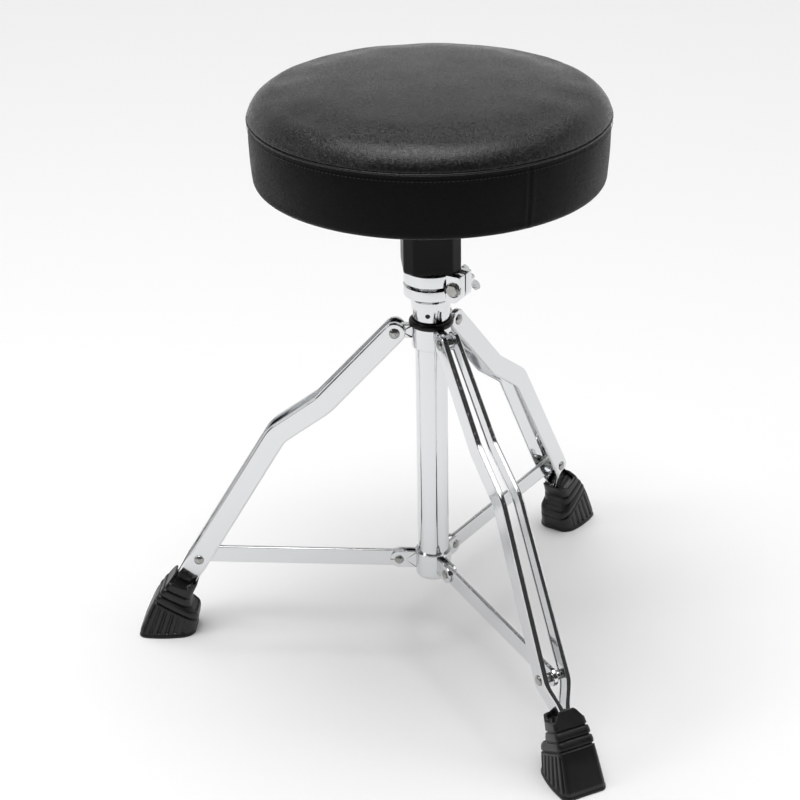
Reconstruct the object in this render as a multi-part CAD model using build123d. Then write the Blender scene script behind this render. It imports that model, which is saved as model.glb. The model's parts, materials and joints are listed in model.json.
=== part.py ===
from build123d import *
import math
import os

# A height-adjustable drum throne: a round padded seat on a swivel post, held by a
# three-legged folding stand.  Millimetres, +Z up.  The origin is on the floor, under the
# axis of the column.  The left leg lies along -X, the other two at 120 degrees from it.

# ---- driving dimensions ---------------------------------------------------------------

RUNNING = 0.06            # radial clearance of a part that turns or slides on another
SEATED = 0.02             # radial clearance of parts that are fixed in one another
APART = 0.3               # gap between faces that move past each other

TUBE_R = 15.5             # main tube of the column
TUBE_WALL = 1.45
POST_R = 12.7             # seat post
POST_WALL = 1.5
POST_BOTTOM, POST_TOP = 152.0, 470.0
TUBE_TOP = 404.0
BUSH_LOW, BUSH_HIGH = 340.0, 406.8     # the liner, and the top of its flange

LEG_AZIMUTHS = {"left": 180.0, "front": 300.0, "rear": 60.0}
CROWN_PIVOT = (34.7, 342.5)    # (distance from the column axis, height) of each leg's top pivot
STRUT_PIVOT = (34.4, 89.7)     # of each strut's inner pivot
LEG_PIVOT = (237.0, 89.7)      # where strut and leg meet
UPPER_BEND = (105.6, 265.1)
LOWER_BEND = (152.3, 231.5)
STRIP_WIDTH = 21.0
STRIP_DEPTH = 5.0              # outer face to the flange edge
STRIP_SHEET = 1.5
STRIP_BEND_R = 26.0
TOP_SPREAD = 9.4               # outer face of a strip from the leg's mid-plane, at the top pivot
PIVOT_SPREAD = 14.1            # the same at the strut pivot
FOOT_SPREAD = 5.8              # the same inside the foot
PINCH_START, PINCH_END, STRIP_END = 4.0, 33.0, 52.0    # along the leg, below the strut pivot

STRUT_WIDTH = 18.0
STRUT_THICK = 4.5
KNUCKLE_THICK = 7.8
EAR_THICK = 2.5
RIVET_R = 3.0
SMALL_RIVET_R = 2.5
TOP_HEAD = (5.2, 2.4)          # radius and height of a rivet's domed head
STRUT_HEAD = (4.6, 2.2)
SPACER_HEAD = (5.0, 2.3)
SPACER_R = 4.6

COLLAR_R = 18.9                # crown collar
COLLAR_LOW, COLLAR_HIGH = 327.4, 349.4
CROWN_BORE_R = 16.6
RING_R = 21.4
RING_HIGH = 355.6
CUP_R = 18.1                   # lower collar, a cup under the main tube
CUP_LOW, CUP_HIGH = 72.4, 101.2
CUP_FLOOR = 3.6

CLAMP_LOW, CLAMP_HIGH = 381.0, 407.8
CLAMP_R = 26.0
SLEEVE_LOW = 353.4
SLEEVE_LOW_R, SLEEVE_HIGH_R = 16.9, 19.8
LUG_AZIMUTH = -26.0
LUG_REACH = 37.0
LUG_HALF = 12.0
BOLT_OFFSET = 30.0
BOLT_Z = 394.3
BOLT_R = 3.0
BOLT_HEAD_HALF, BOLT_HEAD_HIGH = 5.5, 4.8      # half its width across the flats, and its height
BOLT_LENGTH = 36.4
RECESS_R, RECESS_DEPTH = 7.6, 3.0
WASHER_R, WASHER_THICK = 6.9, 1.2
SLIT = 2.4                     # the split through the lug
KERF_LOW, KERF_HIGH = -2.2, 1.6        # the level slot, from the bolt's axis
SET_SCREW_R = 2.4
SET_SCREW_AZIMUTH, SET_SCREW_Z = 262.8, 364.6
FLUTE_R, FLUTE_LEAN = 3.4, 8.0         # the scoops in the sleeve over the legs

NUT_LOW_R, NUT_HIGH_R, NUT_HIGH = 6.6, 5.0, 9.0
WING_HALF_LONG, WING_HALF_WIDE, WING_THICK = 4.9, 4.4, 3.2
WING_OFFSET, WING_LIFT = 8.6, 11.0     # the wing's centre, from the bolt's axis and the nut's base
WEB_SIZE, WEB_OFFSET, WEB_LIFT = (5.4, 3.2, 5.0), 4.6, 6.6
NUT_TURN = 51.0

HUB_LOW, HUB_HIGH = 409.0, 494.8
HUB_WIDTH = 54.0
HUB_AZIMUTH = 8.0
FLANGE_THICK = 8.0
HUB_CUT = 9.0                  # the cut across each upright corner
FLANGE_SIDE, FLANGE_CORNER = 84.0, 14.0
PLATE_THICK = 3.0
PLATE_SIDE, PLATE_CORNER = 140.0, 18.0
HUB_SCREW_R, HUB_SCREW_SPAN = 2.5, 62.0
PLATE_SCREW_R, PLATE_SCREW_SPAN = 3.0, 112.0
TEE_NUT_R = 4.0

SEAT_R = 165.0                 # at the seam
SEAT_LOW_R = 161.7
SEAT_LOW = 498.5
SEAM_Z = 560.4
SEAT_TOP = 588.5
CROWN_ARC_R = 1500.0           # the almost flat middle of the top
SHOULDER_R = 140.0             # where the top turns down to the seam
COVER = 1.2
BOARD_R = 157.8
BOARD_THICK = 12.0
WELT_R = 1.75
HEM_R = 147.0                  # the side band's hem under the board
STAPLE_AT = 145.0
DUST_COVER_R = 150.0

FOOT_HALF_LOW, FOOT_HALF_HIGH = 22.0, 16.0    # half the foot's width at the floor and at the top
FOOT_HIGH = 75.0
FOOT_TOP_AT, FOOT_TOP_HALF = 32.5, 13.2        # the rim: along the leg, and half its depth
GROOVES_AT = (48.0, 57.0, 66.0)
GROOVE_WIDTH, GROOVE_DEPTH = 2.0, 1.2


# ---- helpers --------------------------------------------------------------------------

def cylinder(radius, low, high):
    """An upright cylinder on the column axis."""
    return Pos(0, 0, (low + high) / 2) * Cylinder(radius, high - low)


def tube(outer, inner, low, high):
    """An upright tube on the column axis."""
    return cylinder(outer, low, high) - cylinder(inner, low, high)


def revolved(points):
    """A solid of revolution about the column axis, from (radius, height) corners."""
    return revolve(Plane.XZ * make_face(Polyline(*points, close=True)), Axis.Z)


def in_leg_plane(sketch, side_from, side_to):
    """A sketch of (distance from the axis, height), thickened across the leg."""
    return extrude(Plane.XZ.offset(-side_to) * sketch, side_to - side_from)


def cross_pin(radius, at, side_from, side_to):
    """A cylinder across the leg's plane, at a (distance, height) point."""
    return in_leg_plane(Pos(*at) * Circle(radius), side_from, side_to)


def dome_head(radius, height, at, face, direction):
    """A rivet's domed head on the face at the given side, bulging in one direction."""
    sphere_r = (radius ** 2 + height ** 2) / (2 * height)
    centre = face + direction * (height - sphere_r)
    ball = Pos(at[0], centre, at[1]) * Sphere(sphere_r)
    reach = face + direction * height
    return ball & cross_pin(radius, at, min(face, reach), max(face, reach))


def around(shape):
    """Three copies of a shape made on the +X side, one at each leg."""
    return [Rot(0, 0, azimuth) * shape for azimuth in LEG_AZIMUTHS.values()]


def fuse(shapes):
    """One solid from several that overlap."""
    first, *others = shapes
    return first.fuse(*others)


def group(shapes):
    """Separate solids kept together in one node."""
    return Compound(children=[solid for shape in shapes for solid in shape.solids()])


def square(span):
    """The four corners of a square."""
    return GridLocations(span, span, 2, 2)


def four(shape, span):
    """One node with a shape at each corner of a square, turned as the hub is."""
    return group([Rot(0, 0, HUB_AZIMUTH) * place * shape for place in square(span)])


def along_leg(distance, outwards=0.0):
    """A (distance, height) point below the strut pivot, along the lower leg."""
    reach = LEG_PIVOT[0] - LOWER_BEND[0]
    drop = LOWER_BEND[1] - LEG_PIVOT[1]
    length = math.hypot(reach, drop)
    r = LEG_PIVOT[0] + (distance * reach + outwards * drop) / length
    z = LEG_PIVOT[1] + (outwards * reach - distance * drop) / length
    return (r, z)


# ---- column ---------------------------------------------------------------------------

def main_tube():
    return tube(TUBE_R, TUBE_R - TUBE_WALL, CUP_LOW + CUP_FLOOR, TUBE_TOP)


def post_bush():
    """The nylon liner between the main tube and the seat post."""
    liner = tube(TUBE_R - TUBE_WALL - SEATED, POST_R + RUNNING, BUSH_LOW, TUBE_TOP)
    flange = tube(TUBE_R - SEATED, POST_R + RUNNING, TUBE_TOP, BUSH_HIGH)
    return liner + flange


def lower_collar():
    """The cup that closes the main tube, with a pair of ears for each strut."""
    cup = cylinder(CUP_R, CUP_LOW, CUP_HIGH)
    cup = fillet(cup.edges().sort_by(Axis.Z)[0], 5.0)
    cup = fillet(cup.edges().sort_by(Axis.Z)[-1], 0.8)
    ear_low = STRUT_THICK / 2 + APART
    outline = SlotCenterToCenter(2 * (STRUT_PIVOT[0] - CUP_R + 3.0), STRUT_WIDTH)
    ear_shape = Pos(CUP_R - 3.0, STRUT_PIVOT[1]) * outline
    ear_shape -= Pos(-STRUT_PIVOT[0] + CUP_R - 3.0, STRUT_PIVOT[1]) * Rectangle(2 * STRUT_PIVOT[0], 60)
    ear_shape -= Pos(*STRUT_PIVOT) * Circle(SMALL_RIVET_R + SEATED)
    ears = [in_leg_plane(ear_shape, side, side + EAR_THICK) for side in (ear_low, -ear_low - EAR_THICK)]
    body = fuse([cup] + [part for ear in ears for part in around(ear)])
    return body - cylinder(TUBE_R + SEATED, CUP_LOW + CUP_FLOOR, CUP_HIGH + 1)


def lower_collar_rivets():
    """One rivet through each pair of ears, with a domed head at both ends."""
    face = STRUT_THICK / 2 + APART + EAR_THICK
    pin = cross_pin(SMALL_RIVET_R, STRUT_PIVOT, -face, face)
    heads = [dome_head(*STRUT_HEAD, STRUT_PIVOT, side * face, side) for side in (-1, 1)]
    return group(around(fuse([pin] + heads)))


def clamp_blank():
    """The casting before its slots: a tapered sleeve, a band above it and the bolt's lug."""
    sleeve = [(0, SLEEVE_LOW), (SLEEVE_LOW_R, SLEEVE_LOW), (SLEEVE_HIGH_R, CLAMP_LOW - 3.5)]
    band = [(CLAMP_R - 1.5, CLAMP_LOW), (CLAMP_R, CLAMP_LOW + 1.5), (CLAMP_R, CLAMP_HIGH - 1.0)]
    top = [(CLAMP_R - 1.0, CLAMP_HIGH), (0, CLAMP_HIGH)]
    casting = revolved(sleeve + band + top)
    height = CLAMP_HIGH - CLAMP_LOW
    lug = Box(LUG_REACH - 14.0, 2 * LUG_HALF, height)
    lug = fillet(lug.edges().filter_by(Axis.Y).group_by(Axis.Z)[0].sort_by(Axis.X)[-1], 8.0)
    lug = fillet(lug.faces().sort_by(Axis.X)[-1].edges().sort_by(Axis.Z)[-1], 1.5)
    lug = Pos((LUG_REACH + 14.0) / 2, 0, (CLAMP_LOW + CLAMP_HIGH) / 2) * lug
    return casting + Rot(0, 0, LUG_AZIMUTH) * lug


def clamp_casting():
    """The chrome height clamp: split at the lug and cut by a level slot so that the band can close."""
    body = clamp_blank()
    slit = Pos(LUG_REACH / 2 + 7, 0, (CLAMP_LOW + CLAMP_HIGH) / 2 + 3.0) * Box(LUG_REACH, SLIT, 33.0)
    bolt_hole = Pos(BOLT_OFFSET, 0, BOLT_Z) * Rot(90, 0, 0) * Cylinder(BOLT_R + SEATED, 60)
    recess = Pos(BOLT_OFFSET, -LUG_HALF, BOLT_Z) * Rot(90, 0, 0) * Cylinder(RECESS_R, 2 * RECESS_DEPTH)
    kerf_ring = tube(CLAMP_R + 5, TUBE_R - 1, BOLT_Z + KERF_LOW, BOLT_Z + KERF_HIGH)
    kerf_side = Pos(-10, -27, BOLT_Z) * Box(64, 54, 20)
    for cut in (slit, bolt_hole, recess, kerf_ring & kerf_side):
        body -= Rot(0, 0, LUG_AZIMUTH) * cut
    flute = Pos(SLEEVE_LOW_R + 2.4, 0, SLEEVE_LOW + 4.0) * Rot(0, FLUTE_LEAN, 0) * Cylinder(FLUTE_R, 22.0)
    for cut in around(flute):
        body -= cut
    body -= set_screw_hole()
    return body - cylinder(TUBE_R + SEATED, SLEEVE_LOW - 1, CLAMP_HIGH + 1)


def set_screw_hole():
    """A radial cylinder through the sleeve's wall."""
    hole = Pos(19.0, 0, SET_SCREW_Z) * Rot(0, 90, 0) * Cylinder(SET_SCREW_R, 6.6)
    return Rot(0, 0, SET_SCREW_AZIMUTH) * hole


def set_screw():
    """The socket screw sunk in the sleeve, which fixes the casting to the tube."""
    screw = Pos(16.7, 0, SET_SCREW_Z) * Rot(0, 90, 0) * Cylinder(SET_SCREW_R - SEATED, 2.0)
    screw -= Pos(17.6, 0, SET_SCREW_Z) * Rot(0, 90, 0) * extrude(RegularPolygon(1.2, 6), 1.0)
    return Rot(0, 0, SET_SCREW_AZIMUTH) * screw


def clamp_bolt():
    """The hex bolt that closes the clamp."""
    head = extrude(RegularPolygon(BOLT_HEAD_HALF, 6, major_radius=False), BOLT_HEAD_HIGH)
    head = chamfer(head.faces().sort_by(Axis.Z)[-1].edges(), 0.5)
    shank = Pos(0, 0, 0.2 - BOLT_LENGTH / 2) * Cylinder(BOLT_R, BOLT_LENGTH)
    seat = -LUG_HALF + RECESS_DEPTH - WASHER_THICK
    place = Rot(0, 0, LUG_AZIMUTH) * Pos(BOLT_OFFSET, seat, BOLT_Z) * Rot(90, 0, 0)
    return place * (head + shank)


def clamp_washer():
    """The washer under the bolt's head, sunk in the lug."""
    washer = Rot(90, 0, 0) * (Cylinder(WASHER_R, WASHER_THICK) - Cylinder(BOLT_R + SEATED, 2.0))
    middle = -LUG_HALF + RECESS_DEPTH - WASHER_THICK / 2
    return Rot(0, 0, LUG_AZIMUTH) * Pos(BOLT_OFFSET, middle, BOLT_Z) * washer


def wing_nut():
    """The wing nut on the far end of the bolt.  Its wings stand up clear of the casting's band."""
    barrel = Cone(NUT_LOW_R, NUT_HIGH_R, NUT_HIGH, align=(Align.CENTER, Align.CENTER, Align.MIN))
    leaf = extrude(Ellipse(WING_HALF_LONG, WING_HALF_WIDE), WING_THICK / 2, both=True)
    wing = Pos(WING_OFFSET, 0, WING_LIFT) * Rot(90, 0, 0) * leaf
    web = Pos(WEB_OFFSET, 0, WEB_LIFT) * Box(*WEB_SIZE)
    wings = [Rot(0, 0, turn) * (wing + web) for turn in (0, 180)]
    nut = fuse([barrel] + wings) - Cylinder(BOLT_R + RUNNING, 40)
    place = Rot(0, 0, LUG_AZIMUTH) * Pos(BOLT_OFFSET, LUG_HALF + APART, BOLT_Z) * Rot(-90, 0, 0)
    return place * Rot(0, 0, NUT_TURN) * nut


# ---- crown ----------------------------------------------------------------------------

def crown_bush():
    """The black liner of the sliding crown, with a thick ring that the sleeve seats in."""
    ring = cylinder(RING_R, COLLAR_HIGH, RING_HIGH)
    ring = fillet(ring.edges().filter_by(GeomType.CIRCLE), 2.4)
    liner = cylinder(CROWN_BORE_R - SEATED, COLLAR_LOW, COLLAR_HIGH + 1)
    recess = cylinder(SLEEVE_LOW_R + 0.9, SLEEVE_LOW - APART, RING_HIGH + 1)
    return ring + liner - recess - cylinder(TUBE_R + RUNNING, COLLAR_LOW - 1, RING_HIGH + 1)


def crown_collar():
    """The sliding collar that carries the three legs, each on a knuckle."""
    collar = cylinder(COLLAR_R, COLLAR_LOW, COLLAR_HIGH)
    collar = fillet(collar.edges().sort_by(Axis.Z)[0], 1.2)
    radius = COLLAR_HIGH - CROWN_PIVOT[1]
    reach = CROWN_PIVOT[0] - CROWN_BORE_R - 1.0
    shank = Pos(CROWN_PIVOT[0] - reach / 2, CROWN_PIVOT[1]) * Rectangle(reach, 2 * radius)
    knuckle_shape = shank + Pos(*CROWN_PIVOT) * Circle(radius)
    knuckle_shape -= Pos(*CROWN_PIVOT) * Circle(RIVET_R + RUNNING)
    knuckle = in_leg_plane(knuckle_shape, -KNUCKLE_THICK / 2, KNUCKLE_THICK / 2)
    body = fuse([collar] + around(knuckle))
    return body - cylinder(CROWN_BORE_R, COLLAR_LOW - 1, COLLAR_HIGH + 1)


# ---- legs -----------------------------------------------------------------------------

def strip_outline(width):
    """The side view of a strip down to the pinch: a bent band with round ends."""
    end = along_leg(PINCH_START)
    path = FilletPolyline(CROWN_PIVOT, UPPER_BEND, LOWER_BEND, end, radius=STRIP_BEND_R)
    band = make_face(offset(path, amount=width / 2, side=Side.BOTH, kind=Kind.ARC))
    past_end = Pos(*along_leg(PINCH_START + 50)) * Rot(0, 0, leg_slope()) * Rectangle(100, 60)
    return band - past_end


def leg_slope():
    """The lower leg's direction in its side view, in degrees."""
    reach = LEG_PIVOT[0] - LOWER_BEND[0]
    drop = LOWER_BEND[1] - LEG_PIVOT[1]
    return -math.degrees(math.atan2(drop, reach))


def pressed_band(outline, inner_outline, face):
    """A sheet-metal channel: an outer face with a flange that turns inwards all round."""
    slab = in_leg_plane(outline, face - STRIP_DEPTH, face)
    pocket = in_leg_plane(inner_outline, face - STRIP_DEPTH - 1, face - STRIP_SHEET)
    return slab - pocket


def straight_band(start, end, face, width, lean=0.0):
    """A straight stretch of strip below the strut pivot, leaning inwards from its start."""
    length = end - start
    outline = Pos(length / 2, 0) * Rectangle(length, width)
    inner = Pos(length / 2, 0) * Rectangle(length + 1, width - 2 * STRIP_SHEET)
    band = pressed_band(outline, inner, 0)
    r, z = along_leg(start)
    return Pos(r, face, z) * Rot(0, -leg_slope(), 0) * Rot(0, 0, -lean) * band


def strip():
    """One strip of a leg, on its +Y side."""
    upper = pressed_band(strip_outline(STRIP_WIDTH), strip_outline(STRIP_WIDTH - 2 * STRIP_SHEET), 0)
    reach = LEG_PIVOT[0] - CROWN_PIVOT[0]
    drop = CROWN_PIVOT[1] - LEG_PIVOT[1]
    chord = math.hypot(reach, drop)
    splay = math.degrees(math.asin((PIVOT_SPREAD - TOP_SPREAD) / chord))
    hinge_line = Axis((CROWN_PIVOT[0], 0, CROWN_PIVOT[1]), (drop, 0, reach))
    upper = Pos(0, TOP_SPREAD, 0) * upper.rotate(hinge_line, splay)
    face = PIVOT_SPREAD + 0.05
    rise = PIVOT_SPREAD - FOOT_SPREAD
    lean = math.degrees(math.atan2(rise, PINCH_END - PINCH_START))
    pinch_length = math.hypot(rise, PINCH_END - PINCH_START)
    pinch = straight_band(PINCH_START, PINCH_START + pinch_length, face, STRIP_WIDTH, lean)
    tail = straight_band(PINCH_END - 0.5, STRIP_END, FOOT_SPREAD, STRIP_WIDTH)
    band = fuse([upper, pinch, tail])
    band -= cross_pin(RIVET_R + SEATED, CROWN_PIVOT, 0, 30)
    return band - cross_pin(RIVET_R + SEATED, LEG_PIVOT, 0, 30)


def top_rivet():
    """The rivet on which the two strips hang from the crown's knuckle."""
    face = TOP_SPREAD + 0.1
    pin = cross_pin(RIVET_R, CROWN_PIVOT, -face - 1, face + 1)
    heads = [dome_head(*TOP_HEAD, CROWN_PIVOT, side * face, side) for side in (-1, 1)]
    return fuse([pin] + heads)


def pivot_spacer(side):
    """A headed spacer in one strip, which guides the end of the strut from that side."""
    inner = STRUT_THICK / 2 + APART
    sheet = PIVOT_SPREAD - STRIP_DEPTH + 3.2
    collar = cross_pin(SPACER_R, LEG_PIVOT, *sorted((side * inner, side * sheet)))
    pin = cross_pin(RIVET_R, LEG_PIVOT, *sorted((side * inner, side * (PIVOT_SPREAD + 1.0))))
    head = dome_head(*SPACER_HEAD, LEG_PIVOT, side * (PIVOT_SPREAD + 0.1), side)
    return fuse([collar, pin, head])


def pivot_spacers():
    """The pair of spacers, one on each side of the strut's end."""
    return [pivot_spacer(side) for side in (-1, 1)]


def foot_profile():
    """The foot's side view: a flat sole, a long sloped toe face and a waisted heel."""
    toe = (303.0, 0.0)
    heel = (247.0, 0.0)
    outer_top = along_leg(FOOT_TOP_AT, FOOT_TOP_HALF)
    inner_top = along_leg(FOOT_TOP_AT, -FOOT_TOP_HALF)
    points = [heel, toe, (303.4, 3.0), outer_top, inner_top, (250.0, 38.0), (243.6, 27.0), (243.6, 20.0)]
    return make_face(Polyline(*points, close=True))


def foot():
    """A rubber shoe: wedge shaped, grooved across, ribbed low on its sides, open at the top."""
    body = in_leg_plane(foot_profile(), -FOOT_HALF_LOW, FOOT_HALF_LOW)
    wedge = [(-FOOT_HALF_LOW, 0), (FOOT_HALF_LOW, 0),
             (FOOT_HALF_HIGH, FOOT_HIGH), (-FOOT_HALF_HIGH, FOOT_HIGH)]
    body &= Pos(200, 0, 0) * extrude(Plane.YZ * make_face(Polyline(*wedge, close=True)), 150)
    for distance in GROOVES_AT:
        for side in (-1, 1):
            body -= foot_groove(distance, side)
    mouth = foot_pocket(FOOT_TOP_AT - 2.0, FOOT_TOP_AT + 6.0, 12.6, 21.6)
    slot = foot_pocket(FOOT_TOP_AT + 2.0, STRIP_END + 0.4, FOOT_SPREAD + 3.0, 21.4)
    return body - mouth - slot


def foot_groove(distance, side):
    """A shallow groove across one flank of the foot, square to the leg."""
    r, z = along_leg(distance)
    flank = FOOT_HALF_LOW - (FOOT_HALF_LOW - FOOT_HALF_HIGH) * z / FOOT_HIGH
    reach = 9.0
    cutter = Rot(0, -leg_slope(), 0) * Box(GROOVE_WIDTH, reach, 70)
    return Pos(r, side * (flank + reach / 2 - GROOVE_DEPTH), z) * cutter


def foot_pocket(start, end, half, width):
    """A straight pocket in the foot, along the leg."""
    r, z = along_leg((start + end) / 2)
    return Pos(r, 0, z) * Rot(0, -leg_slope(), 0) * Box(end - start, 2 * half, width)


def strut():
    """A flat bar with round ends, from the lower collar to the leg."""
    length = LEG_PIVOT[0] - STRUT_PIVOT[0]
    middle = ((LEG_PIVOT[0] + STRUT_PIVOT[0]) / 2, STRUT_PIVOT[1])
    outline = Pos(*middle) * SlotCenterToCenter(length, STRUT_WIDTH)
    outline -= Pos(*STRUT_PIVOT) * Circle(SMALL_RIVET_R + RUNNING)
    outline -= Pos(*LEG_PIVOT) * Circle(RIVET_R + 0.1)
    bar = in_leg_plane(outline, -STRUT_THICK / 2, STRUT_THICK / 2)
    rims = bar.faces().filter_by(Axis.Y).edges().filter_by(lambda e: e.length > 20)
    return fillet(rims, 1.0)


# ---- seat post ------------------------------------------------------------------------

def post_tube():
    return tube(POST_R, POST_R - POST_WALL, POST_BOTTOM, POST_TOP)


def post_end_plug():
    """The plastic plug in the lower end of the post."""
    plug = cylinder(POST_R - POST_WALL - SEATED, POST_BOTTOM - 1.0, POST_BOTTOM + 12.0)
    return plug + cylinder(POST_R, POST_BOTTOM - 3.0, POST_BOTTOM - SEATED)


def post_top_plug():
    """The steel plug in the post's upper end, which the seat's thrust washer turns on."""
    return cylinder(POST_R - POST_WALL - SEATED, POST_TOP - 10.0, POST_TOP)


# ---- seat -----------------------------------------------------------------------------

def thrust_washer():
    return cylinder(12.4, POST_TOP + APART, POST_TOP + 3.0)


def hub():
    """The moulded block under the seat: square with cut corners, and a flange on top."""
    block = Pos(0, 0, (HUB_LOW + HUB_HIGH) / 2) * Box(HUB_WIDTH, HUB_WIDTH, HUB_HIGH - HUB_LOW)
    block = chamfer(block.edges().filter_by(Axis.Z), HUB_CUT)
    block = fillet(block.edges().filter_by(Axis.Z), 3.0)
    block = fillet(block.faces().sort_by(Axis.Z)[0].edges(), 2.0)
    flange = Pos(0, 0, HUB_HIGH - FLANGE_THICK / 2) * Box(FLANGE_SIDE, FLANGE_SIDE, FLANGE_THICK)
    flange = fillet(flange.edges().filter_by(Axis.Z), FLANGE_CORNER)
    body = block + flange - cylinder(POST_R + RUNNING, HUB_LOW - 1, POST_TOP + 3.2)
    for place in square(HUB_SCREW_SPAN):
        body -= Pos(0, 0, HUB_HIGH) * place * Cylinder(HUB_SCREW_R + SEATED, 40)
    return Rot(0, 0, HUB_AZIMUTH) * body


def hub_screws():
    """Four screws that hold the hub to the plate."""
    low = HUB_HIGH - FLANGE_THICK
    head = Pos(0, 0, low - 1.6) * Cylinder(4.6, 3.2)
    head = fillet(head.edges().sort_by(Axis.Z)[0], 1.4)
    shank = Pos(0, 0, low + 5.0) * Cylinder(HUB_SCREW_R, 10.4)
    screw = head + shank
    return four(screw, HUB_SCREW_SPAN)


def seat_plate():
    """The square steel plate between hub and seat board."""
    plate = Pos(0, 0, HUB_HIGH + PLATE_THICK / 2) * Box(PLATE_SIDE, PLATE_SIDE, PLATE_THICK)
    plate = fillet(plate.edges().filter_by(Axis.Z), PLATE_CORNER)
    for place in square(HUB_SCREW_SPAN):
        plate -= Pos(0, 0, HUB_HIGH) * place * Cylinder(HUB_SCREW_R + SEATED, 20)
    for place in square(PLATE_SCREW_SPAN):
        plate -= Pos(0, 0, HUB_HIGH) * place * Cylinder(PLATE_SCREW_R + SEATED, 20)
    return Rot(0, 0, HUB_AZIMUTH) * plate


def plate_screws():
    """Four screws up through the plate into the board's tee nuts."""
    head = Pos(0, 0, HUB_HIGH - 1.7) * Cylinder(6.0, 3.4)
    head = fillet(head.edges().sort_by(Axis.Z)[0], 1.6)
    shank = Pos(0, 0, HUB_HIGH + 8.0) * Cylinder(PLATE_SCREW_R, 16.4)
    screw = head + shank
    return four(screw, PLATE_SCREW_SPAN)


def at_plate_screws(shape, body):
    """The body with a shape cut out at each plate screw."""
    for place in square(PLATE_SCREW_SPAN):
        body -= Rot(0, 0, HUB_AZIMUTH) * place * shape
    return body


def dust_cover():
    """The thin black cloth disc under the seat."""
    disc = cylinder(DUST_COVER_R, HUB_HIGH + PLATE_THICK, SEAT_LOW - SEATED)
    return at_plate_screws(Pos(0, 0, SEAT_LOW) * Cylinder(PLATE_SCREW_R + 0.2, 20), disc)


def cover_staples(count=24):
    """The staples that hold dust cloth and cover to the board."""
    low = HUB_HIGH + PLATE_THICK - 0.8
    wire = Pos(STAPLE_AT, 0, low + 0.4) * Box(1.3, 11.0, 0.8)
    return group([Rot(0, 0, 360 / count * (i + 0.5)) * wire for i in range(count)])


def board_level():
    return SEAT_LOW + COVER + 0.1


def seat_board():
    """The plywood disc that the cushion is built on."""
    disc = cylinder(BOARD_R, board_level(), board_level() + BOARD_THICK)
    return at_plate_screws(Pos(0, 0, board_level()) * Cylinder(TEE_NUT_R, 60), disc)


def tee_nuts():
    """Four tee nuts pressed into the board from above."""
    top = board_level() + BOARD_THICK
    nut = Pos(0, 0, top - 4.5) * Cylinder(TEE_NUT_R - 0.05, 9.0) + Pos(0, 0, top + 0.6) * Cylinder(9.5, 1.2)
    nut -= Pos(0, 0, top) * Cylinder(PLATE_SCREW_R + SEATED, 40)
    return four(nut, PLATE_SCREW_SPAN)


def crown_drop(radius):
    """How far the almost flat middle of the top falls from its highest point."""
    return CROWN_ARC_R - math.sqrt(CROWN_ARC_R ** 2 - radius ** 2)


def crown_profile(inset, low):
    """Half the outline of the crowned top, inset from its outer surface, down to a level."""
    rim = (SEAT_R - inset, low)
    seam = (SEAT_R - inset, SEAM_Z)
    top = SEAT_TOP - inset
    halfway = (SHOULDER_R / 2, top - crown_drop(SHOULDER_R / 2))
    shoulder = (SHOULDER_R, top - crown_drop(SHOULDER_R))
    slope = math.asin(SHOULDER_R / CROWN_ARC_R)
    middle_arc = ThreePointArc((0, top), halfway, shoulder)
    edge_arc = TangentArc(shoulder, seam, tangent=(math.cos(slope), -math.sin(slope)))
    return make_face(middle_arc + edge_arc + Polyline(seam, rim, (0, low), (0, top)))


def seat_foam():
    """The foam cushion: slightly conical below the seam, crowned above it."""
    top = board_level() + BOARD_THICK
    inset = COVER + 0.2
    crown = revolve(Plane.XZ * crown_profile(inset, SEAM_Z - 2.0), Axis.Z)
    lower = revolved([(0, top), (side_radius(top) - inset, top), (SEAT_R - inset, SEAM_Z), (0, SEAM_Z)])
    pocket = Pos(0, 0, top + 0.65) * Cylinder(9.6, 1.3)
    groove = Pos(0, 0, SEAM_Z) * Torus(SEAT_R - 0.4, WELT_R + 0.1)
    return at_plate_screws(pocket, crown + lower - groove)


def side_radius(z):
    """The seat's outer radius at a height between its bottom edge and the seam."""
    return SEAT_LOW_R + (SEAT_R - SEAT_LOW_R) * (z - SEAT_LOW) / (SEAM_Z - SEAT_LOW)


def seat_side_band():
    """The side of the cover, with its hem turned in under the board."""
    top = SEAM_Z - WELT_R
    edge = 4.0
    outer = [(HEM_R, SEAT_LOW), (SEAT_LOW_R - edge, SEAT_LOW), (SEAT_LOW_R - 1.0, SEAT_LOW + 1.6),
             (side_radius(SEAT_LOW + edge), SEAT_LOW + edge), (side_radius(top), top)]
    inner = [(side_radius(top) - COVER, top), (side_radius(SEAT_LOW + 3) - COVER, SEAT_LOW + 3),
             (SEAT_LOW_R - edge + 0.5, SEAT_LOW + COVER), (HEM_R, SEAT_LOW + COVER)]
    return revolved(outer + inner)


def seat_welt():
    """The piping in the seam between side and top."""
    return Pos(0, 0, SEAM_Z) * Torus(SEAT_R - 0.4, WELT_R)


def seat_top_cover():
    """The crowned top panel of the cover."""
    shell = crown_profile(0.0, SEAM_Z - 1) - crown_profile(COVER, SEAM_Z - 2)
    below = Pos(0, SEAM_Z + WELT_R - 10) * Rectangle(3 * SEAT_R, 20)
    return revolve(Plane.XZ * (shell - below), Axis.Z)


# ---- assembly -------------------------------------------------------------------------

def leg_nodes(name, azimuth):
    """The separate pieces of one leg, turned to its place round the column."""
    turn = Rot(0, 0, azimuth)
    right_strip = strip()
    return {
        f"{name}_leg_strip_a": turn * right_strip,
        f"{name}_leg_strip_b": turn * mirror(right_strip, Plane.XZ),
        f"{name}_leg_top_rivet": turn * top_rivet(),
        f"{name}_leg_pivot_spacers": group([turn * spacer for spacer in pivot_spacers()]),
        f"{name}_foot": turn * foot(),
        f"{name}_strut": turn * strut(),
    }


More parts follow.
